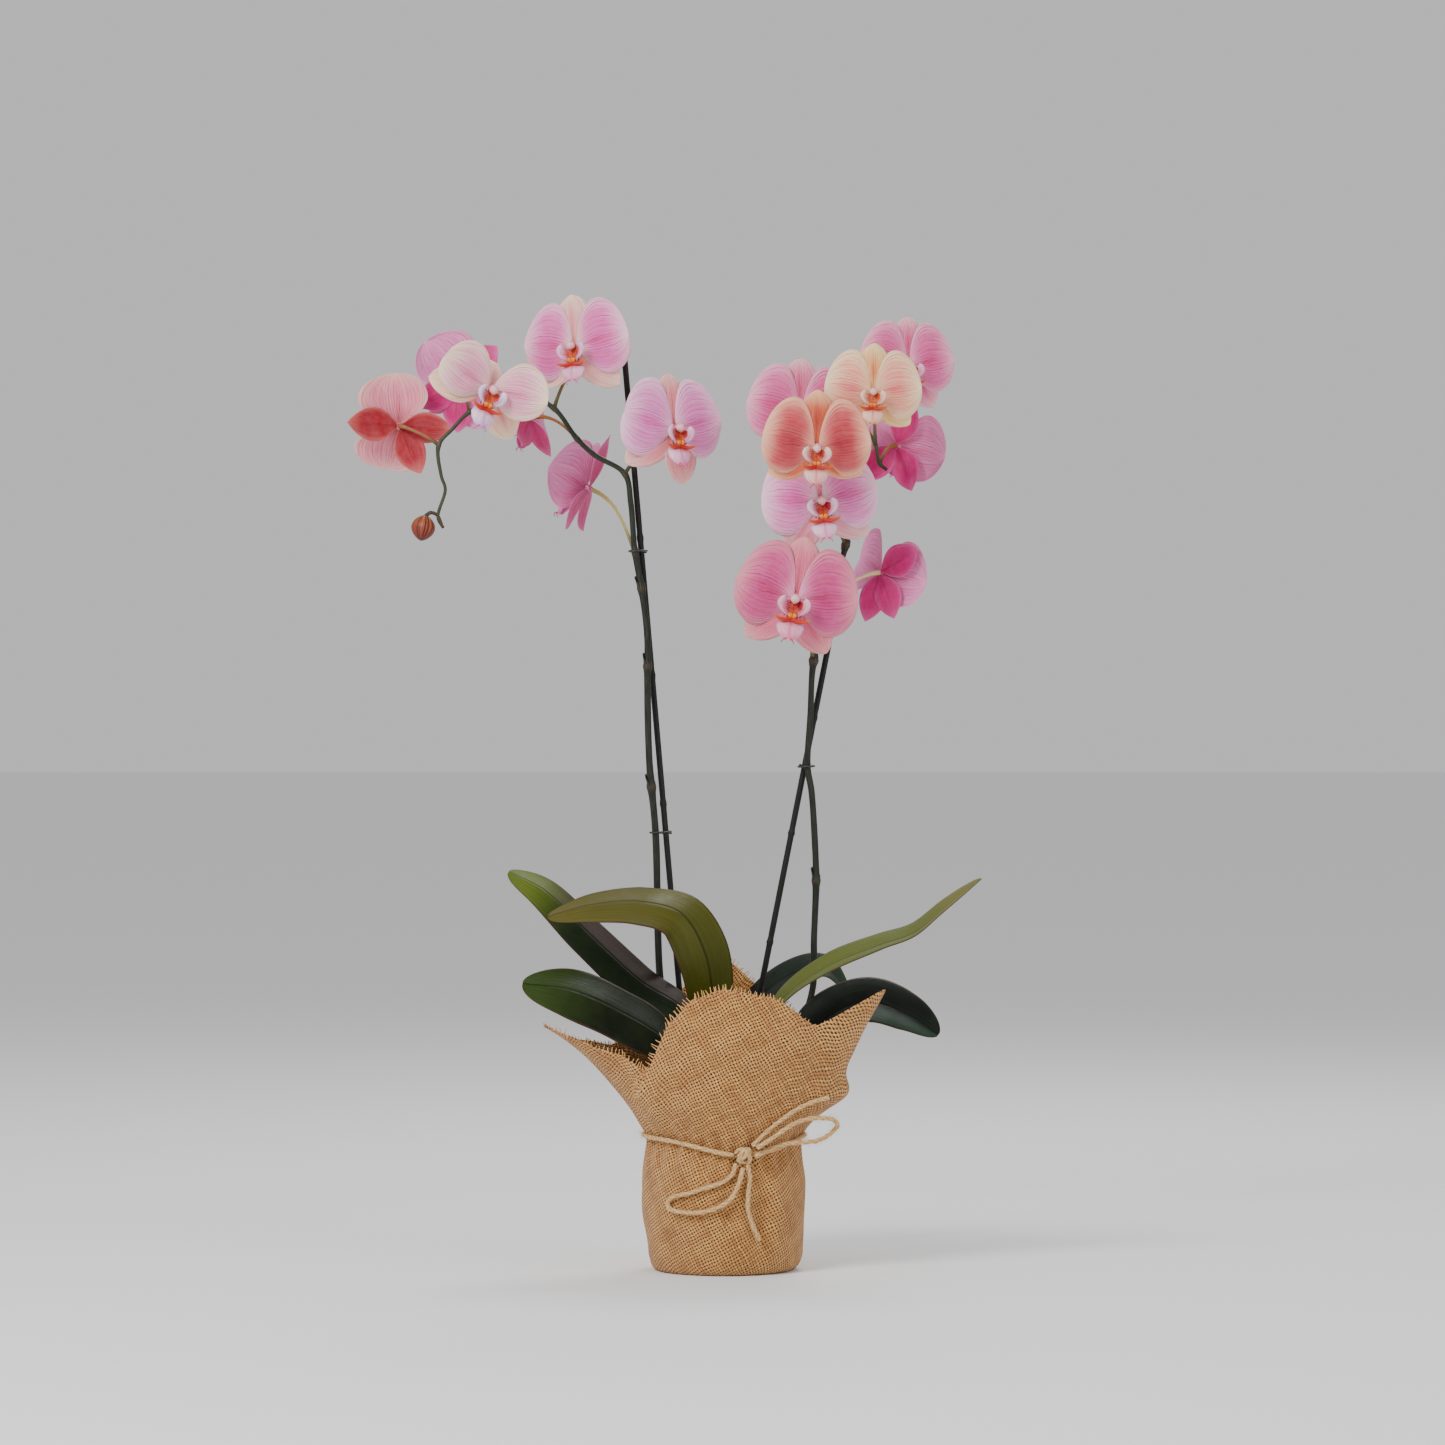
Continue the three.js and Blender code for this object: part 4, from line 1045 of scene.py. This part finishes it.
@dataclass
class Flower:
    """place of its middle; angles: turn, nod and roll; joint: the path point its stalk leaves from. The rest is
    what sets it apart: where its sepals point, how far they and its petals swing forward, its petals' breadth."""

    place: tuple
    angles: tuple
    width: float
    joint: int
    kind: str
    stalk: tuple = (120, 110, 60)
    top: float = 90
    lower: tuple = (-128, -52)
    swing: tuple = (0, 0)
    sepal_swing: float = 0
    top_swing: float = None
    broad: float = 1.0
    lift: float = 2


FLOWERS = {
    "left_1": Flower((-37, -32, 628), (28, -2, 4), 86, 11, "lilac", (96, 84, 52), lift=6, lower=(-139, -66)),
    "left_2": Flower((-111, -18, 690), (-18, -2, -7), 84, 14, "blush", top=98, lower=(-147, -50)),
    "left_3": Flower(
        (-174, -42, 657), (20, 8, 22), 90, 16, "cream",
        top=64, top_swing=-42, lower=(-168, -38), swing=(28, 10), broad=0.68,
    ),
    "left_4": Flower((-202, 42, 666), (200, 10, -48), 82, 17, "magenta", (130, 90, 60), lower=(-132, -76)),
    "left_5": Flower((-244, 12, 633), (188, 0, 88), 80, 19, "red", (148, 96, 60), lower=(-88, -24), swing=(40, 8)),
    "left_6": Flower(
        (-103, 52, 588), (-104, -22, 0), 84, 9, "magenta", (176, 160, 96), swing=(40, 40), sepal_swing=14
    ),
    "left_7": Flower(
        (-148, 54, 641), (228, 10, -5), 66, 13, "magenta", (156, 104, 50), lower=(-112, -50), swing=(42, 30)
    ),
    "right_1": Flower((137, -32, 675), (14, 0, 2), 76, 16, "pink"),
    "right_2": Flower((110, -72, 653), (0, 2, 2), 73, 19, "apricot", lower=(-142, -38)),
    "right_3": Flower((57, -18, 642), (0, 0, 2), 82, 15, "pink"),
    "right_4": Flower((68, -84, 612), (2, 10, 2), 82, 14, "salmon", lower=(-144, -30)),
    "right_5": Flower((72, -36, 574), (4, 0, -6), 89, 12, "pale", lower=(-127, -40)),
    "right_6": Flower((53, -52, 501), (-2, 2, 10), 94, 10, "rose", (170, 160, 110), lower=(-133, -51)),
    "right_7": Flower(
        (118, 26, 523), (152, 0, -20), 76, 11, "magenta", (222, 206, 150),
        top=132, lower=(-136, -96), swing=(40, 12), sepal_swing=6,
    ),
    "right_8": Flower(
        (131, 26, 619), (150, 0, -24), 78, 20, "magenta", (150, 110, 50),
        lower=(-142, -66), swing=(30, 14), sepal_swing=4,
    ),
}
RECEPTACLE = 0.045


def flower_matrix(flower):
    turn, nod, roll = (math.radians(angle) for angle in flower.angles)
    return np.array(Matrix.Rotation(turn, 3, "Z") @ Matrix.Rotation(nod, 3, "X") @ Matrix.Rotation(roll, 3, "Y"))


def graded(stops, share):
    keys = [s[0] for s in stops]
    tones = np.array([colour(*s[1])[:3] for s in stops])
    return np.column_stack([np.interp(share, keys, tones[:, q]) for q in range(3)])


def three_sided(along, around):
    return 1 + 0.07 * np.cos(3 * around + along * 60)


def crossed(first, second):
    return np.meshgrid(np.linspace(*first), np.linspace(*second), indexing="ij")


for side, spike in SPIKES.items():
    parts = Parts()
    line = run_through([np.array(p) * MM for p in spike["path"]], 0.0014)
    share = np.linspace(0, 1, len(line))
    foot, middle, tip = spike["radii"]
    thick = np.interp(share, [0, 0.5, 1], [foot, middle, tip]) + 0.05 * np.sin(share * 90)
    joint_shares = []
    for z in spike["joints"]:
        joint_shares.append(share[int(np.argmin(np.abs(line[:, 2] - z * MM) + 10 * (share > 0.75)))])
    stalk_shares = {}
    for name, flower in FLOWERS.items():
        if name.startswith(side):
            start = np.array(spike["path"][flower.joint]) * MM
            stalk_shares[name] = share[int(np.argmin(np.linalg.norm(line - start, axis=1)))]
    length = float(np.sum(np.linalg.norm(np.diff(line, axis=0), axis=1)))
    for joint in joint_shares:
        thick += 0.75 * bell((share - joint) * length / 0.0030) + 0.4 * bell((share - joint) * length / 0.009)
    for joint in stalk_shares.values():
        thick += 0.55 * bell((share - joint) * length / 0.0032)
    tones = graded(spike["tones"], share)
    for joint in joint_shares + list(stalk_shares.values()):
        ring = bell((share - joint) * length / 0.0022)[:, None] * 0.4
        tones = tones * (1 - ring) + tone_of(84, 64, 46) * ring
    add_tube(parts, line, thick * MM, tones, 12)
    for name, flower in FLOWERS.items():
        if not name.startswith(side):
            continue
        start = np.array(spike["path"][flower.joint]) * MM
        back = flower_matrix(flower) @ np.array((0.0, 1.0, 0.0))
        end = np.array(flower.place) * MM + back * (flower.width * RECEPTACLE * 0.7) * MM
        lead = np.linalg.norm(end - start) * 0.4
        second = start + (end - start) * 0.3 + np.array((0, 0, lead * 0.3))
        third = end + back * lead * 0.8
        s = np.linspace(0, 1, 34)[:, None]
        stalk = (1 - s) ** 3 * start + 3 * s * (1 - s) ** 2 * second + 3 * s**2 * (1 - s) * third + s**3 * end
        along = s[:, 0]
        stalk_thick = 1.25 + 0.35 * bell(along / 0.12) + 0.55 * ease(along, 0.55, 1.0)
        stalk_tones = graded([(0, (40, 44, 22)), (0.3, flower.stalk), (1, flower.stalk)], along)
        add_tube(parts, stalk, stalk_thick * MM, stalk_tones, 12, three_sided)
    for joint in joint_shares:
        at = line[int(joint * (len(line) - 1))]
        ahead, around, other = frames_along(line[max(0, int(joint * (len(line) - 1)) - 4) :][:9])
        u, a = crossed((0, 1, 9), (-1.9, 1.9, 13))
        reach = (2.9 + 1.5 * u**2 - 0.4 * u) * MM
        lift = (-0.004 + 0.014 * u * (1 - 0.5 * (a / 1.9) ** 2))[:, :, None]
        sheath = (
            at
            + lift * ahead[4]
            + (reach * np.cos(a + 0.9))[:, :, None] * around[4]
            + (reach * np.sin(a + 0.9))[:, :, None] * other[4]
        )
        closed_sheet(parts, sheath, 0.0003, tone_of(50, 44, 30), tone_of(40, 36, 26))
    piece = parts.make("spike_" + side + "_stem", stem_skin)
    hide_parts("spike_" + side)
    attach(piece, "root")

# Clips: oval loops of dark wire that hold a spike to its stake, with the wire's end standing out.
wire, tree, shader = new_material("dark_wire", Specular_IOR_Level=0.5, Metallic=0.6)
rub = cloud(tree, place_of(tree), 900.0, 3.0)
finish_surface(
    tree, shader,
    blend(tree, remap(tree, rub, 0.4, 0.75), colour(34, 34, 34), colour(92, 92, 90)),
    rub, (0.35, 0.55),
)
CLIPS = {
    "clip_left_upper": dict(place=(-64.6, 16, 539), reach=(8.3, 5.7), turn=56),
    "clip_left_lower": dict(place=(-47.7, 24.6, 327), reach=(9, 5.6), turn=39),
    "clip_right": dict(place=(62, 14.7, 377), reach=(8.2, 5.8), turn=106),
}
for name, clip in CLIPS.items():
    a = np.linspace(-0.35, 2 * math.pi + 0.25, 60)
    turn = math.radians(clip["turn"])
    x, y = clip["reach"][0] * np.cos(a), clip["reach"][1] * np.sin(a)
    rise = 1.1 * (a / (2 * math.pi) - 0.5)
    ring = np.column_stack([x * math.cos(turn) - y * math.sin(turn), x * math.sin(turn) + y * math.cos(turn), rise])
    ring = (ring + np.array(clip["place"])) * MM
    out = (ring[-1] - ring[-2]) / np.linalg.norm(ring[-1] - ring[-2])
    ring = np.vstack([ring, ring[-1] + out * 0.0015, ring[-1] + out * 0.0022 + np.array((0.0012, -0.001, 0.0006))])
    parts = Parts()
    add_tube(parts, run_through(ring, 0.0006), 0.8 * MM, tone_of(40, 40, 40), 10)
    piece = parts.make(name + "_wire", wire)
    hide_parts(name)
    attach(piece, "root")

# Flowers: two broad petals in front of three sepals, all thin, velvety and veined, pale at their margins,
# and much deeper in colour on the backs of the sepals. Each is closed flesh that grows from one point.
petal_skin, tree, shader = new_material(
    "petal_skin",
    Specular_IOR_Level=0.28,
    Sheen_Weight=0.12,
    Sheen_Roughness=0.4,
    Subsurface_Weight=0.12,
    Subsurface_Scale=0.002,
)
where = uv_of(tree)
wander = cloud(tree, where, 7.0, 3.0, out="Color")
bent = blend(tree, 0.05, where, wander)
split = node(tree, "ShaderNodeSeparateXYZ", {0: bent})
fan = times(tree, split.outputs["Y"], 26.0)
lines = calc(tree, "POWER", calc(tree, "ABSOLUTE", calc(tree, "SINE", times(tree, fan, math.pi))), 0.5)
vein = remap(tree, lines, 0.2, 0.65, 1.0, 0.0)
broad = cloud(tree, stretched(tree, where, (1.6, 15.0, 1.0)), 1.0, 3.0)
vein = times(tree, vein, remap(tree, broad, 0.4, 0.62))
vein = times(tree, vein, remap(tree, split.outputs["X"], 0.55, 0.95, 1.0, 0.15))
mid = remap(tree, calc(tree, "ABSOLUTE", calc(tree, "SUBTRACT", split.outputs["Y"], 0.5)), 0.0, 0.018, 1.0, 0.0)
mid = times(tree, mid, remap(tree, split.outputs["X"], 0.2, 0.9, 1.0, 0.0))
cells = node(tree, "ShaderNodeTexVoronoi", {"Vector": place_of(tree), "Scale": 1500.0}).outputs["Distance"]
soft = cloud(tree, place_of(tree), 130.0, 4.0)
tone = tone_attribute(tree)
deeper = blend(tree, 1.0, tone, colour(226, 130, 174), how="MULTIPLY")
streaked = blend(tree, 1.0, tone, colour(240, 172, 204), how="MULTIPLY")
streaks = stretched(tree, where, (1.1, 30.0, 1.0))
streaks = remap(tree, cloud(tree, streaks, 1.0, 3.0, 0.6), 0.46, 0.64, 0.0, 0.85)
streaks = times(tree, streaks, remap(tree, split.outputs["X"], 0.5, 0.98, 1.0, 0.0))
petal_tone = blend(tree, streaks, tone, streaked)
lined = calc(tree, "MAXIMUM", vein, mid)
petal_tone = blend(tree, times(tree, lined, 0.95), petal_tone, deeper)
# Painted highlight: soft patches of the petals are lightened towards white.
petal_tone = blend(tree, remap(tree, soft, 0.4, 0.8, 0.0, 0.12), petal_tone, blend(tree, 0.4, tone, (1, 1, 1, 1)))
finish_surface(
    tree, shader,
    petal_tone,
    soft, (0.42, 0.6), 0.0006, calc(tree, "ADD", times(tree, cells, 0.25), times(tree, lined, -0.7)),
)

# How much deeper than their listed tones the petals are drawn.
PETAL_DEPTH = 1.3
# Each kind's tones: heart, flush, body and margin of the petals, the same of the sepals, then the backs of each.
KINDS = {
    "lilac": [
        [(252, 214, 232), (228, 134, 200), (240, 172, 218), (250, 208, 230)],
        [(236, 150, 160), (240, 160, 160), (240, 172, 176), (246, 204, 196)],
        (236, 170, 208), (228, 120, 160),
    ],
    "blush": [
        [(252, 226, 226), (222, 104, 178), (234, 140, 198), (246, 206, 222)],
        [(244, 176, 150), (242, 178, 178), (246, 204, 196), (250, 222, 204)],
        (236, 176, 208), (228, 130, 160),
    ],
    "cream": [
        [(252, 226, 224), (238, 166, 200), (246, 206, 212), (252, 232, 210)],
        [(250, 206, 180), (246, 196, 186), (250, 218, 196), (252, 230, 202)],
        (244, 204, 208), (236, 180, 176),
    ],
    "magenta": [
        [(248, 190, 220), (226, 92, 176), (234, 122, 196), (246, 180, 216)],
        [(216, 30, 120), (216, 50, 146), (228, 90, 176), (240, 150, 205)],
        (238, 166, 210), (220, 44, 150),
    ],
    "red": [
        [(252, 216, 214), (238, 140, 156), (244, 176, 184), (250, 214, 200)],
        [(176, 26, 52), (188, 44, 66), (210, 92, 102), (236, 160, 150)],
        (238, 170, 182), (182, 38, 62),
    ],
    "pink": [
        [(250, 196, 220), (214, 84, 152), (232, 138, 184), (244, 190, 208)],
        [(228, 116, 146), (222, 112, 156), (236, 156, 186), (246, 200, 204)],
        (234, 150, 200), (222, 90, 150),
    ],
    "apricot": [
        [(250, 222, 176), (238, 160, 146), (246, 204, 172), (252, 232, 194)],
        [(250, 214, 140), (232, 162, 100), (246, 212, 154), (252, 226, 174)],
        (246, 208, 176), (240, 190, 130),
    ],
    "salmon": [
        [(250, 200, 172), (184, 48, 74), (214, 110, 112), (250, 202, 172)],
        [(232, 140, 90), (194, 80, 44), (224, 132, 94), (250, 204, 164)],
        (230, 140, 130), (220, 100, 84),
    ],
    "pale": [
        [(254, 226, 238), (226, 110, 190), (242, 176, 218), (250, 214, 232)],
        [(240, 160, 180), (238, 168, 184), (244, 190, 198), (248, 210, 206)],
        (244, 190, 220), (232, 130, 170),
    ],
    "rose": [
        [(248, 190, 214), (200, 72, 140), (216, 108, 160), (228, 158, 172)],
        [(232, 116, 146), (226, 118, 150), (232, 146, 168), (238, 176, 178)],
        (232, 150, 190), (226, 80, 140),
    ],
}

# The tones of a lip's lobes, of its flush and of its throat, by kind.
LIPS = {
    "pink": ((248, 206, 226), (232, 96, 168), (150, 6, 46)),
    "lilac": ((248, 210, 230), (234, 112, 176), (196, 40, 30)),
    "blush": ((248, 208, 228), (236, 116, 176), (204, 52, 24)),
    "cream": ((246, 230, 248), (206, 126, 212), (206, 70, 40)),
    "magenta": ((240, 150, 206), (220, 60, 150), (150, 6, 46)),
    "red": ((246, 196, 190), (226, 90, 90), (170, 20, 30)),
    "apricot": ((252, 222, 198), (240, 150, 110), (208, 84, 30)),
    "salmon": ((250, 216, 206), (230, 104, 112), (196, 56, 40)),
    "pale": ((250, 220, 236), (232, 96, 178), (178, 10, 40)),
    "rose": ((248, 194, 216), (236, 84, 142), (178, 10, 44)),
}

# Tones along a lip's column, callus and horns, from foot to tip.
COLUMN_TONES = [(0.4, (226, 96, 150)), (0.66, (236, 130, 170)), (0.82, (252, 226, 214)), (1, (222, 70, 110))]
CALLUS_TONES = [(0, (206, 34, 0)), (0.45, (244, 116, 0)), (0.8, (250, 168, 20)), (1, (196, 26, 6))]
HORN_TONES = [(0, (176, 8, 4)), (0.4, (206, 26, 0)), (0.75, (228, 78, 0)), (1, (240, 140, 50))]


def rich(r, g, b):
    """The same hue, deeper."""
    return tone_of(r, g, b) ** PETAL_DEPTH


def petal_tones(palette, u, v, stripe):
    heart, flush, body, margin = (rich(*tone) for tone in palette)
    w = np.abs(v)
    edge = ease(np.maximum(u**1.5, w**2.2), 0.45, 1.0)[:, :, None]
    tone = body * (1 - edge) + margin * edge
    deep = (bell((u - 0.44) / 0.26) * bell(w / stripe) * 0.85)[:, :, None]
    tone = tone * (1 - deep) + flush * deep
    near = bell(u / 0.16)[:, :, None]
    return tone * (1 - near) + heart * near


def outline(u, widest, tip, base):
    """A tepal's half width along it, 0 to 1: it opens from its claw to its widest and ends in a round tip."""
    rise = np.sin(math.pi / 2 * np.clip(u / widest, 0.0, 1.0)) ** base
    fall = np.clip(1 - (np.clip((u - widest) / (1 - widest), 0.0, 1.0)) ** 2, 0.0, 1.0) ** tip
    return np.where(u < widest, rise, fall)


def tepal_grid(angle, shape, bend, cup, waves, phase, swing=0.0, rows=26, columns=19):
    """A sepal or petal in shares of the flower's width, pointing at angle and swung forward by swing."""
    length, breadth, start, reach, widest, tip, base, skew = shape
    u = 0.5 - 0.5 * np.cos(math.pi * np.linspace(0.06, 1, rows))
    u = (u - u[0]) / (u[-1] - u[0]) * 0.9985 + 0.0005
    u, v = np.meshgrid(u, np.linspace(-1, 1, columns), indexing="ij")
    half = breadth / 2 * np.maximum(outline(u, widest, tip, base), 0.03)
    right, up = math.cos(math.radians(angle)), math.sin(math.radians(angle))
    level, ahead = math.cos(math.radians(swing)), math.sin(math.radians(swing))
    out = np.array((right * level, -ahead, up * level))
    aside = np.array((-up, 0, right))
    back = np.array((right * ahead, level, up * ahead))
    ruffle = 0.011 * np.sin(waves * u + phase + 2.1 * v) * v**2 * u
    groove = 0.007 * bell(v / 0.09) * np.sin(math.pi * u)
    depth = reach + bend * u**2 + cup * v**2 * half * 2 + ruffle + groove
    grid = (
        out * (start + length * u)[:, :, None]
        + aside * (half * v * (1 + skew * v))[:, :, None]
        + back * depth[:, :, None]
    )
    return grid, u, v


for number, (name, flower) in enumerate(FLOWERS.items()):
    random = np.random.default_rng(100 + number)
    width = flower.width * MM
    turn = flower_matrix(flower)
    place = np.array(flower.place) * MM
    petals, sepals, petal_back, sepal_back = KINDS[flower.kind]
    turned_away = turn[1, 1] < 0.3
    parts = Parts()
    slim = 0.92 if turned_away else 1.0
    lift = 0 if turned_away else flower.lift
    petal_breadth = (0.66 if turned_away else 0.70) * flower.broad
    for angle, which, ahead in (
        (flower.top, "sepal", flower.sepal_swing if flower.top_swing is None else flower.top_swing),
        (flower.lower[0], "sepal", flower.sepal_swing),
        (flower.lower[1], "sepal", flower.sepal_swing),
        (8 + lift, "petal", flower.swing[0]),
        (172 - lift, "petal", flower.swing[1]),
    ):
        phase = random.random() * 6
        if which == "petal":
            hand = 1 if angle < 90 else -1
            grid, u, v = tepal_grid(
                angle + random.normal() * 1.5,
                (0.475, petal_breadth, 0.02, -0.012, 0.5, 0.5, 0.72, 0.13 * hand),
                0.055 + 0.015 * random.normal(), 0.12, 9, phase, ahead, 34, 27,
            )
            front, back, thick = petal_tones(petals, u, v, 0.55), petal_back, 0.011
        else:
            upper = angle > 0
            sepal_breadth = (0.35 if upper else 0.32) * slim
            grid, u, v = tepal_grid(
                angle + random.normal() * 1.5,
                (0.48 if upper else 0.47, sepal_breadth, 0.02, 0.016, 0.46, 0.9 if turned_away else 0.66, 0.8, 0.0),
                0.115 + 0.03 * random.random(), 0.08 if upper else 0.03, 5, phase, ahead, 28, 15,
            )
            front, back, thick = petal_tones(sepals, u, v, 0.35), sepal_back, 0.012
        back_tone = rich(*back)
        pale = ease(np.maximum(u**2, np.abs(v) ** 2.4), 0.4, 1.05)[:, :, None]
        back_tones = back_tone * (1 - 0.5 * pale) + rich(*(petals if which == "petal" else sepals)[3]) * 0.5 * pale
        heart = (bell(u / 0.3) * bell(v / 0.7) * 0.55)[:, :, None]
        back_tones = back_tones * (1 - heart) + rich(*sepals[1]) * rich(*sepals[1]) ** 0.25 * heart
        world = place + (grid * width) @ turn.T
        flesh = width * thick * (1 - 0.6 * np.abs(v) ** 3) * (1 - 0.55 * u**3)
        closed_sheet(parts, world, flesh, front, back_tones)
    knob = place + (np.array([(0, 0.04, 0), (0, 0.02, 0), (0, -0.02, 0)]) * width) @ turn.T
    knob = run_through(knob, width * 0.012)
    add_tube(parts, knob, width * np.linspace(0.02, 0.034, len(knob)), tone_of(*petals[0]), 12)
    piece = parts.make("flower_" + name, petal_skin)
    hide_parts("tepals_" + name)
    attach(piece, "root")

    # Lip and column: pale side lobes that stand like ears round a short pink column, a spotted throat
    # between them, a yellow and orange callus on a bar of two horns, and a middle lobe with two tendrils.
    parts = Parts()

    def put(points):
        return place + (np.asarray(points) * width) @ turn.T

    lobe_tone, tip_tone, throat_tone = LIPS[flower.kind]
    white, rosy = rich(*lobe_tone), rich(*tip_tone)
    deep_throat = tone_of(*throat_tone)
    for hand in (1, -1):
        a, b = crossed((-0.985, 0.985, 13), (-1, 1, 13))
        span = np.sqrt(1 - a**2)
        lobe = np.stack(
            [
                hand * (0.090 + 0.040 * b * span + 0.024 * a * (1 - 0.4 * b) - 0.035 * a**2),
                -0.115 - 0.030 * (b * span + 1) + 0.035 * (b * span) ** 2 + 0.018 * a**2,
                -0.054 + 0.076 * a + 0.008 * b,
            ],
            axis=2,
        )
        inward = (ease(-b * span, -0.5, 0.7) * ease(-a, -0.9, 0.5))[:, :, None] * 0.85
        inner = white * (1 - inward) + rosy * inward
        tones = (inner, white) if hand < 0 else (white, inner)
        closed_sheet(parts, put(lobe), width * 0.009, tones[0], tones[1])
        wing = np.stack(
            [
                hand * (0.018 + 0.05 * (b * 0.5 + 0.5)),
                -0.06 - 0.055 * (b * 0.5 + 0.5) - 0.012 * np.cos(a * 1.4),
                -0.075 + 0.07 * a * (1 - 0.2 * b),
            ],
            axis=2,
        )
        stripes = (0.5 + 0.5 * np.sin(a * 17 + 3 * b))[:, :, None] ** 2
        wing_tones = deep_throat * (1 - 0.55 * stripes) + white * 0.55 * stripes
        closed_sheet(parts, put(wing), width * 0.008, wing_tones, deep_throat)
    column = run_through(
        [(0, 0.03, 0.0), (0, -0.045, 0.014), (0, -0.1, 0.012), (0, -0.128, -0.012), (0, -0.126, -0.034)], 0.005
    )
    share = np.linspace(0, 1, len(column))
    column_tones = graded([(0, tip_tone), *COLUMN_TONES], share)
    thick = 0.026 + 0.011 * bell((share - 0.72) / 0.2) - 0.016 * ease(share, 0.86, 1.0)
    add_tube(parts, put(column), width * thick, column_tones, 14)
    a, b = crossed((0, 1, 14), (-1, 1, 13))
    throat = np.stack([0.068 * b * (1 - 0.25 * a), -0.066 - 0.04 * a - 0.03 * b**2, -0.012 - 0.13 * a], axis=2)
    spots = (ease(np.sin(30 * a + 2) * np.sin(15 * b + 0.4), 0.0, 0.5))[:, :, None]
    amber = tone_of(240, 150, 60)
    closed_sheet(parts, put(throat), width * 0.01, deep_throat * (1 - 0.6 * spots) + amber * 0.6 * spots, white)
    for hand in (1, -1):
        bump = run_through(
            [(hand * 0.012, -0.105, -0.142), (hand * 0.017, -0.135, -0.128), (hand * 0.024, -0.15, -0.1)], 0.004
        )
        share = np.linspace(0, 1, len(bump))
        bump_tones = graded(CALLUS_TONES, share)
        add_tube(parts, put(bump), width * 0.02 * np.sqrt(np.sin(math.pi * (0.12 + 0.8 * share))), bump_tones, 10)
        horn = run_through(
            [
                (0, -0.118, -0.158), (hand * 0.05, -0.138, -0.166), (hand * 0.1, -0.15, -0.16),
                (hand * 0.145, -0.152, -0.136),
            ],
            0.005,
        )
        share = np.linspace(0, 1, len(horn))
        horn_tones = graded(HORN_TONES, share)
        add_tube(parts, put(horn), width * (0.019 * (1 - share) ** 0.6 + 0.003), horn_tones, 10)
    s, t = crossed((0, 1, 20), (-1, 1, 17))
    spread = np.interp(s[:, 0], [0, 0.12, 0.4, 0.7, 0.9, 1.0], [0.04, 0.085, 0.108, 0.09, 0.06, 0.035])[:, None]
    middle_lobe = np.stack(
        [
            spread * t,
            -0.112 - 0.085 * s + 0.02 * s**2 - 0.022 * np.sin(math.pi * s) * (1 - t**2) + 0.03 * t**2,
            -0.160 - 0.150 * s - 0.012 * (1 - t**2) * s + 0.02 * s**6 * bell(t / 0.25),
        ],
        axis=2,
    )
    fade = ease(s + 0.12 * t**2, 0.05, 0.42)[:, :, None]
    streak = (bell(t / 0.22) * ease(s, 0.3, 0.6))[:, :, None] * 0.45
    rim = ease(s, 0.5, 1.0)[:, :, None] * 0.55
    lower = (deep_throat * (1 - fade) + white * fade) * (1 - streak) + rosy * streak
    lower = lower * (1 - rim) + rosy * rim
    closed_sheet(parts, put(middle_lobe), width * 0.012, lower, white)
    for hand in (1, -1):
        curl = run_through(
            [
                (hand * 0.018, -0.178, -0.305), (hand * 0.034, -0.2, -0.318), (hand * 0.05, -0.195, -0.338),
                (hand * 0.045, -0.17, -0.346),
            ],
            0.004,
        )
        add_tube(parts, put(curl), width * np.linspace(0.0065, 0.002, len(curl)), rosy, 8)
    lip_piece = parts.make("lip_of_" + name, petal_skin)
    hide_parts("lip_" + name)
    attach(lip_piece, "root")

# Bud: still closed, brown-red with dark seams where its sepals meet, hung from the spike's tip.
bud_skin, tree, shader = new_material("bud_skin", Specular_IOR_Level=0.4)
where = uv_of(tree)
ribs = cloud(tree, stretched(tree, where, (2.2, 22.0, 1.0)), 1.0, 4.0, 0.65)
finish_surface(
    tree, shader,
    blend(tree, remap(tree, ribs, 0.44, 0.58), tone_attribute(tree), colour(44, 10, 8)),
    ribs, (0.4, 0.6), 0.0006,
)
bud_low, bud_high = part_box("bud_left")
centre = (np.array(bud_low) + np.array(bud_high)) / 2
half = (np.array(bud_high) - np.array(bud_low)) / 2
parts = Parts()
share = np.linspace(0.01, 0.99, 26)
axis = np.array((-0.18, -0.1, -1.0))
axis /= np.linalg.norm(axis)
line = centre + np.outer(0.5 - share, -axis) * 2 * half[2] * 0.94
profile = half[0] * np.sin(math.pi * share) ** 0.62 * (1 - 0.08 * share)
tones = graded([(0, (150, 96, 48)), (0.35, (176, 84, 44)), (0.8, (146, 50, 34)), (1, (112, 36, 28))], share)


def three_seams(along, around):
    return 0.94 + 0.06 * np.abs(np.cos(1.5 * around + 0.4)) ** 0.45


add_tube(parts, line, profile, tones, 36, three_seams)
bud_top = centre - axis * half[2] * 0.86
stalk = run_through([(-0.2116, 0.002, 0.5585), (-0.2150, 0.002, 0.5655), (-0.2200, 0.0018, 0.5675), bud_top], 0.0007)
add_tube(parts, stalk, np.linspace(0.0011, 0.0016, len(stalk)), tone_of(74, 66, 42), 10)
bud = parts.make("closed_bud", bud_skin)
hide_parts("bud_left")
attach(bud, "root")
